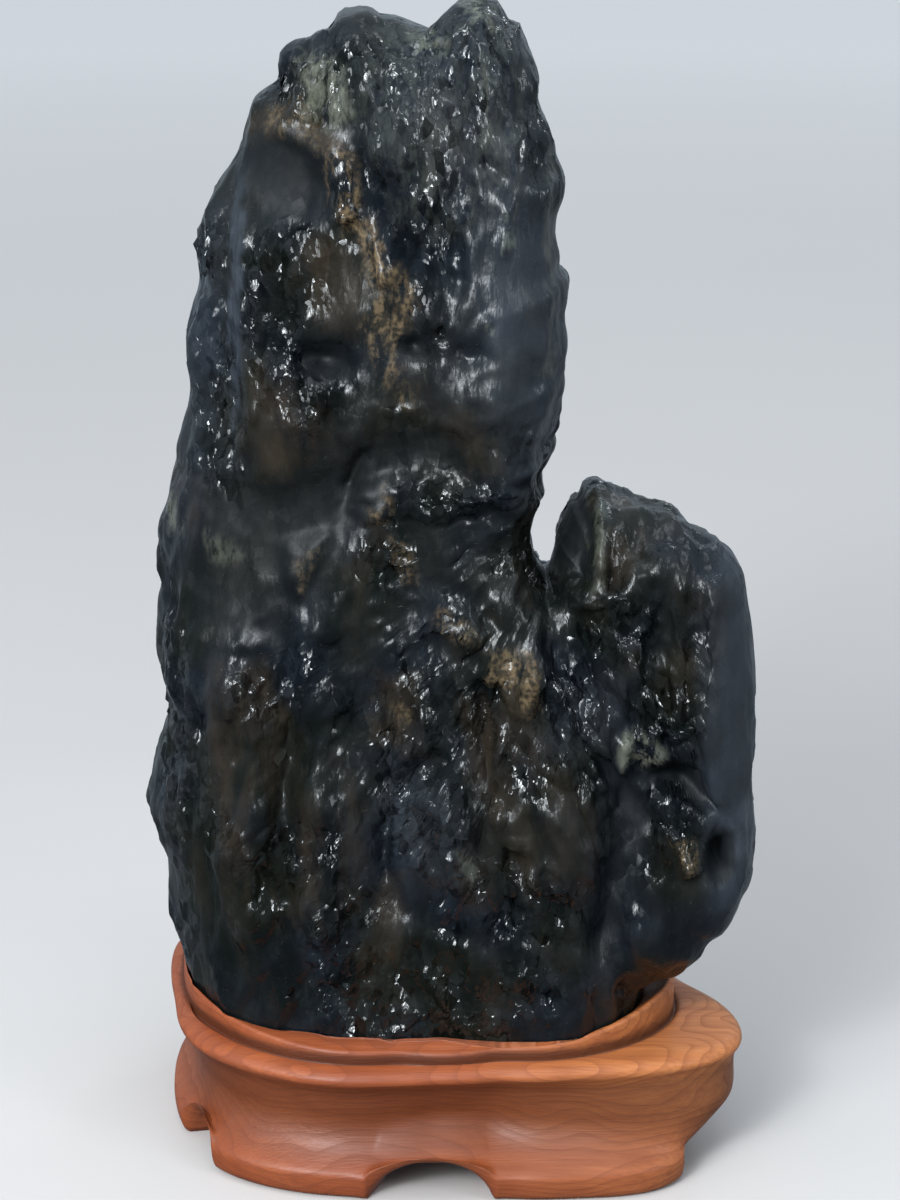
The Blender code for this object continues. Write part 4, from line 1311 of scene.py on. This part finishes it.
def varnished_wood():
    """Orange wood cut from one block: growth rings around a pith that lies far below and runs left to
    right, streaks and fine fibres along it, paler to the right and higher up, partly its own lighter tone
    and partly a painted sheen, painted shade under the ledge, at the foot of the collar and in the dish,
    and a satin varnish."""
    wood, shader = new_material("varnished_wood")
    place = millimetres(wood, turn=WOOD_TURN)
    along_wood = add_node(wood, "ShaderNodeSeparateXYZ", {0: place}).outputs[0]
    height = add_node(wood, "ShaderNodeSeparateXYZ", {0: millimetres(wood)}).outputs[2]
    wander = noise_at(wood, millimetres(wood, (0.6, 1, 1)), 60, 2)
    threads = noise_at(wood, millimetres(wood, (0.04, 1, 1), WOOD_TURN), 0.8, 3, 0.6)
    streaks = noise_at(wood, millimetres(wood, (0.06, 1, 1), WOOD_TURN), 5, 3, 0.6)
    cloud = noise_at(wood, place, 45, 3)
    late = maths(wood, "POWER", growth_rings(wood, place, along_wood, wander), 3)
    # Paler to the right and higher up: partly the wood's own tone, partly painted sheen.
    pale_and_sheen = spread(wood, plus(wood, along_wood, times(wood, wander, 40)), 40, 140)
    pale_and_sheen = times(wood, pale_and_sheen, spread(wood, height, 20, 50, 0.4, 0.9))
    # Painted shade on the apron under the ledge, between these heights.
    painted_ledge_shade = times(wood, spread(wood, height, 8, 27), spread(wood, height, 47, 53, 1.0, 0.0))

    colour = blend(wood, spread(wood, cloud, 0.3, 0.7), RED_WOOD, ORANGE_WOOD)
    colour = blend(wood, pale_and_sheen, colour, PALE_WOOD_AND_SHEEN)
    colour = blend(wood, spread(wood, streaks, 0.4, 0.7, 0.0, 0.45), colour, STREAKED_WOOD)
    colour = blend(wood, times(wood, late, 0.42), colour, LATE_WOOD)
    colour = blend(wood, spread(wood, threads, 0.45, 0.75, 0.0, 0.4), colour, FIBRE)
    colour = blend(wood, times(wood, painted_ledge_shade, 0.6), colour, PAINTED_SHADE_UNDER_LEDGE)
    # Painted shade at the foot of the collar and in the dish.
    colour = blend(wood, times(wood, reading(wood, "painted_shade"), 0.85), colour, PAINTED_COLLAR_SHADE)
    join(wood, colour, shader, "Base Color")

    grain = plus(wood, threads, times(wood, late, 0.5))
    join(wood, spread(wood, grain, 0.3, 1.1, 0.44, 0.66), shader, "Roughness")
    shader.inputs["IOR"].default_value = 1.4
    shader.inputs["Coat Weight"].default_value = 0.1
    shader.inputs["Coat Roughness"].default_value = 0.3
    bump = add_node(wood, "ShaderNodeBump", {"Height": grain, "Distance": MM, "Strength": 0.25})
    join(wood, bump.outputs[0], shader, "Normal")
    return wood


def pale_floor():
    """A pale floor, paler further away."""
    floor, shader = new_material("pale_floor")
    place = millimetres(floor)
    away = vectors(floor, "LENGTH", place, (0, 0, 0), "Value")
    near = blend(floor, noise_at(floor, place, 300, 2), *NEAR_FLOOR)
    colour = blend(floor, spread(floor, away, 500, 4000), near, FAR_FLOOR)
    join(floor, colour, shader, "Base Color")
    shader.inputs["Roughness"].default_value = 0.7
    return floor


# ---- Studio ----
def make_floor():
    """A wide floor that the glossy stone does not mirror; the stone mirrors the dim room instead."""
    mesh = bpy.data.meshes.new("floor")
    corners = [(-1, -1), (1, -1), (1, 1), (-1, 1)]
    mesh.from_pydata([(FLOOR_REACH * x, FLOOR_REACH * y, 0) for x, y in corners], [], [(0, 1, 2, 3)])
    mesh.materials.append(pale_floor())
    floor = add_object("floor", mesh)
    floor.visible_glossy = False


def add_lamp(name, place, size, power):
    """A square soft lamp that faces the middle of the stone."""
    lamp = bpy.data.lights.new(name, "AREA")
    lamp.size = size
    lamp.energy = power
    lamp.color = LAMP_COLOUR
    light = add_object(name, lamp)
    light.location = place
    light.rotation_euler = (Vector(LAMP_AIM) - Vector(place)).to_track_quat("-Z", "Y").to_euler()


def add_sky():
    """A wide sun that lights everything evenly from overhead and makes no glints."""
    lamp = bpy.data.lights.new("sky", "SUN")
    lamp.angle = SKY_SPREAD
    lamp.energy = SKY_STRENGTH
    light = add_object("sky", lamp)
    light.rotation_euler = SKY_TILT
    light.visible_glossy = False


def make_world():
    """A studio that is bright overhead and behind and dim in front, for the light it gives, and
    pale where it is looked at."""
    world = bpy.data.worlds.new("studio")
    world.use_nodes = True
    bpy.context.scene.world = world
    nodes = world.node_tree.nodes
    direction = add_node(world, "ShaderNodeTexCoord").outputs["Generated"]
    bright = vectors(world, "DOT_PRODUCT", direction, BRIGHT_SIDE, "Value")
    light = nodes["Background"]
    light.inputs["Color"].default_value = ROOM_LIGHT
    join(world, spread(world, bright, -0.6, 0.9, 0.11, 0.95), light, "Strength")
    seen = add_node(world, "ShaderNodeBackground", {"Color": ROOM_SEEN})
    looked_at = add_node(world, "ShaderNodeLightPath").outputs["Is Camera Ray"]
    inputs = {0: looked_at, 1: light.outputs[0], 2: seen.outputs[0]}
    choose = add_node(world, "ShaderNodeMixShader", inputs)
    join(world, choose.outputs[0], nodes["World Output"], "Surface")


def make_camera():
    """Stands about a metre in front, a little above the top of the stone, looking slightly down."""
    lens = bpy.data.cameras.new("camera")
    lens.lens = CAMERA_LENS
    lens.sensor_width = CAMERA_SENSOR
    camera = add_object("camera", lens)
    camera.location = CAMERA_PLACE
    camera.rotation_euler = (math.radians(90) - CAMERA_DOWN, 0, 0)
    bpy.context.scene.camera = camera


make_camera()
make_world()
make_floor()
bpy.context.scene.view_settings.view_transform = "Standard"
add_sky()
for lamp_facts in LAMPS:
    add_lamp(*lamp_facts)
stone = make_stone(waxed_black_stone())
make_stand(varnished_wood(), stone)
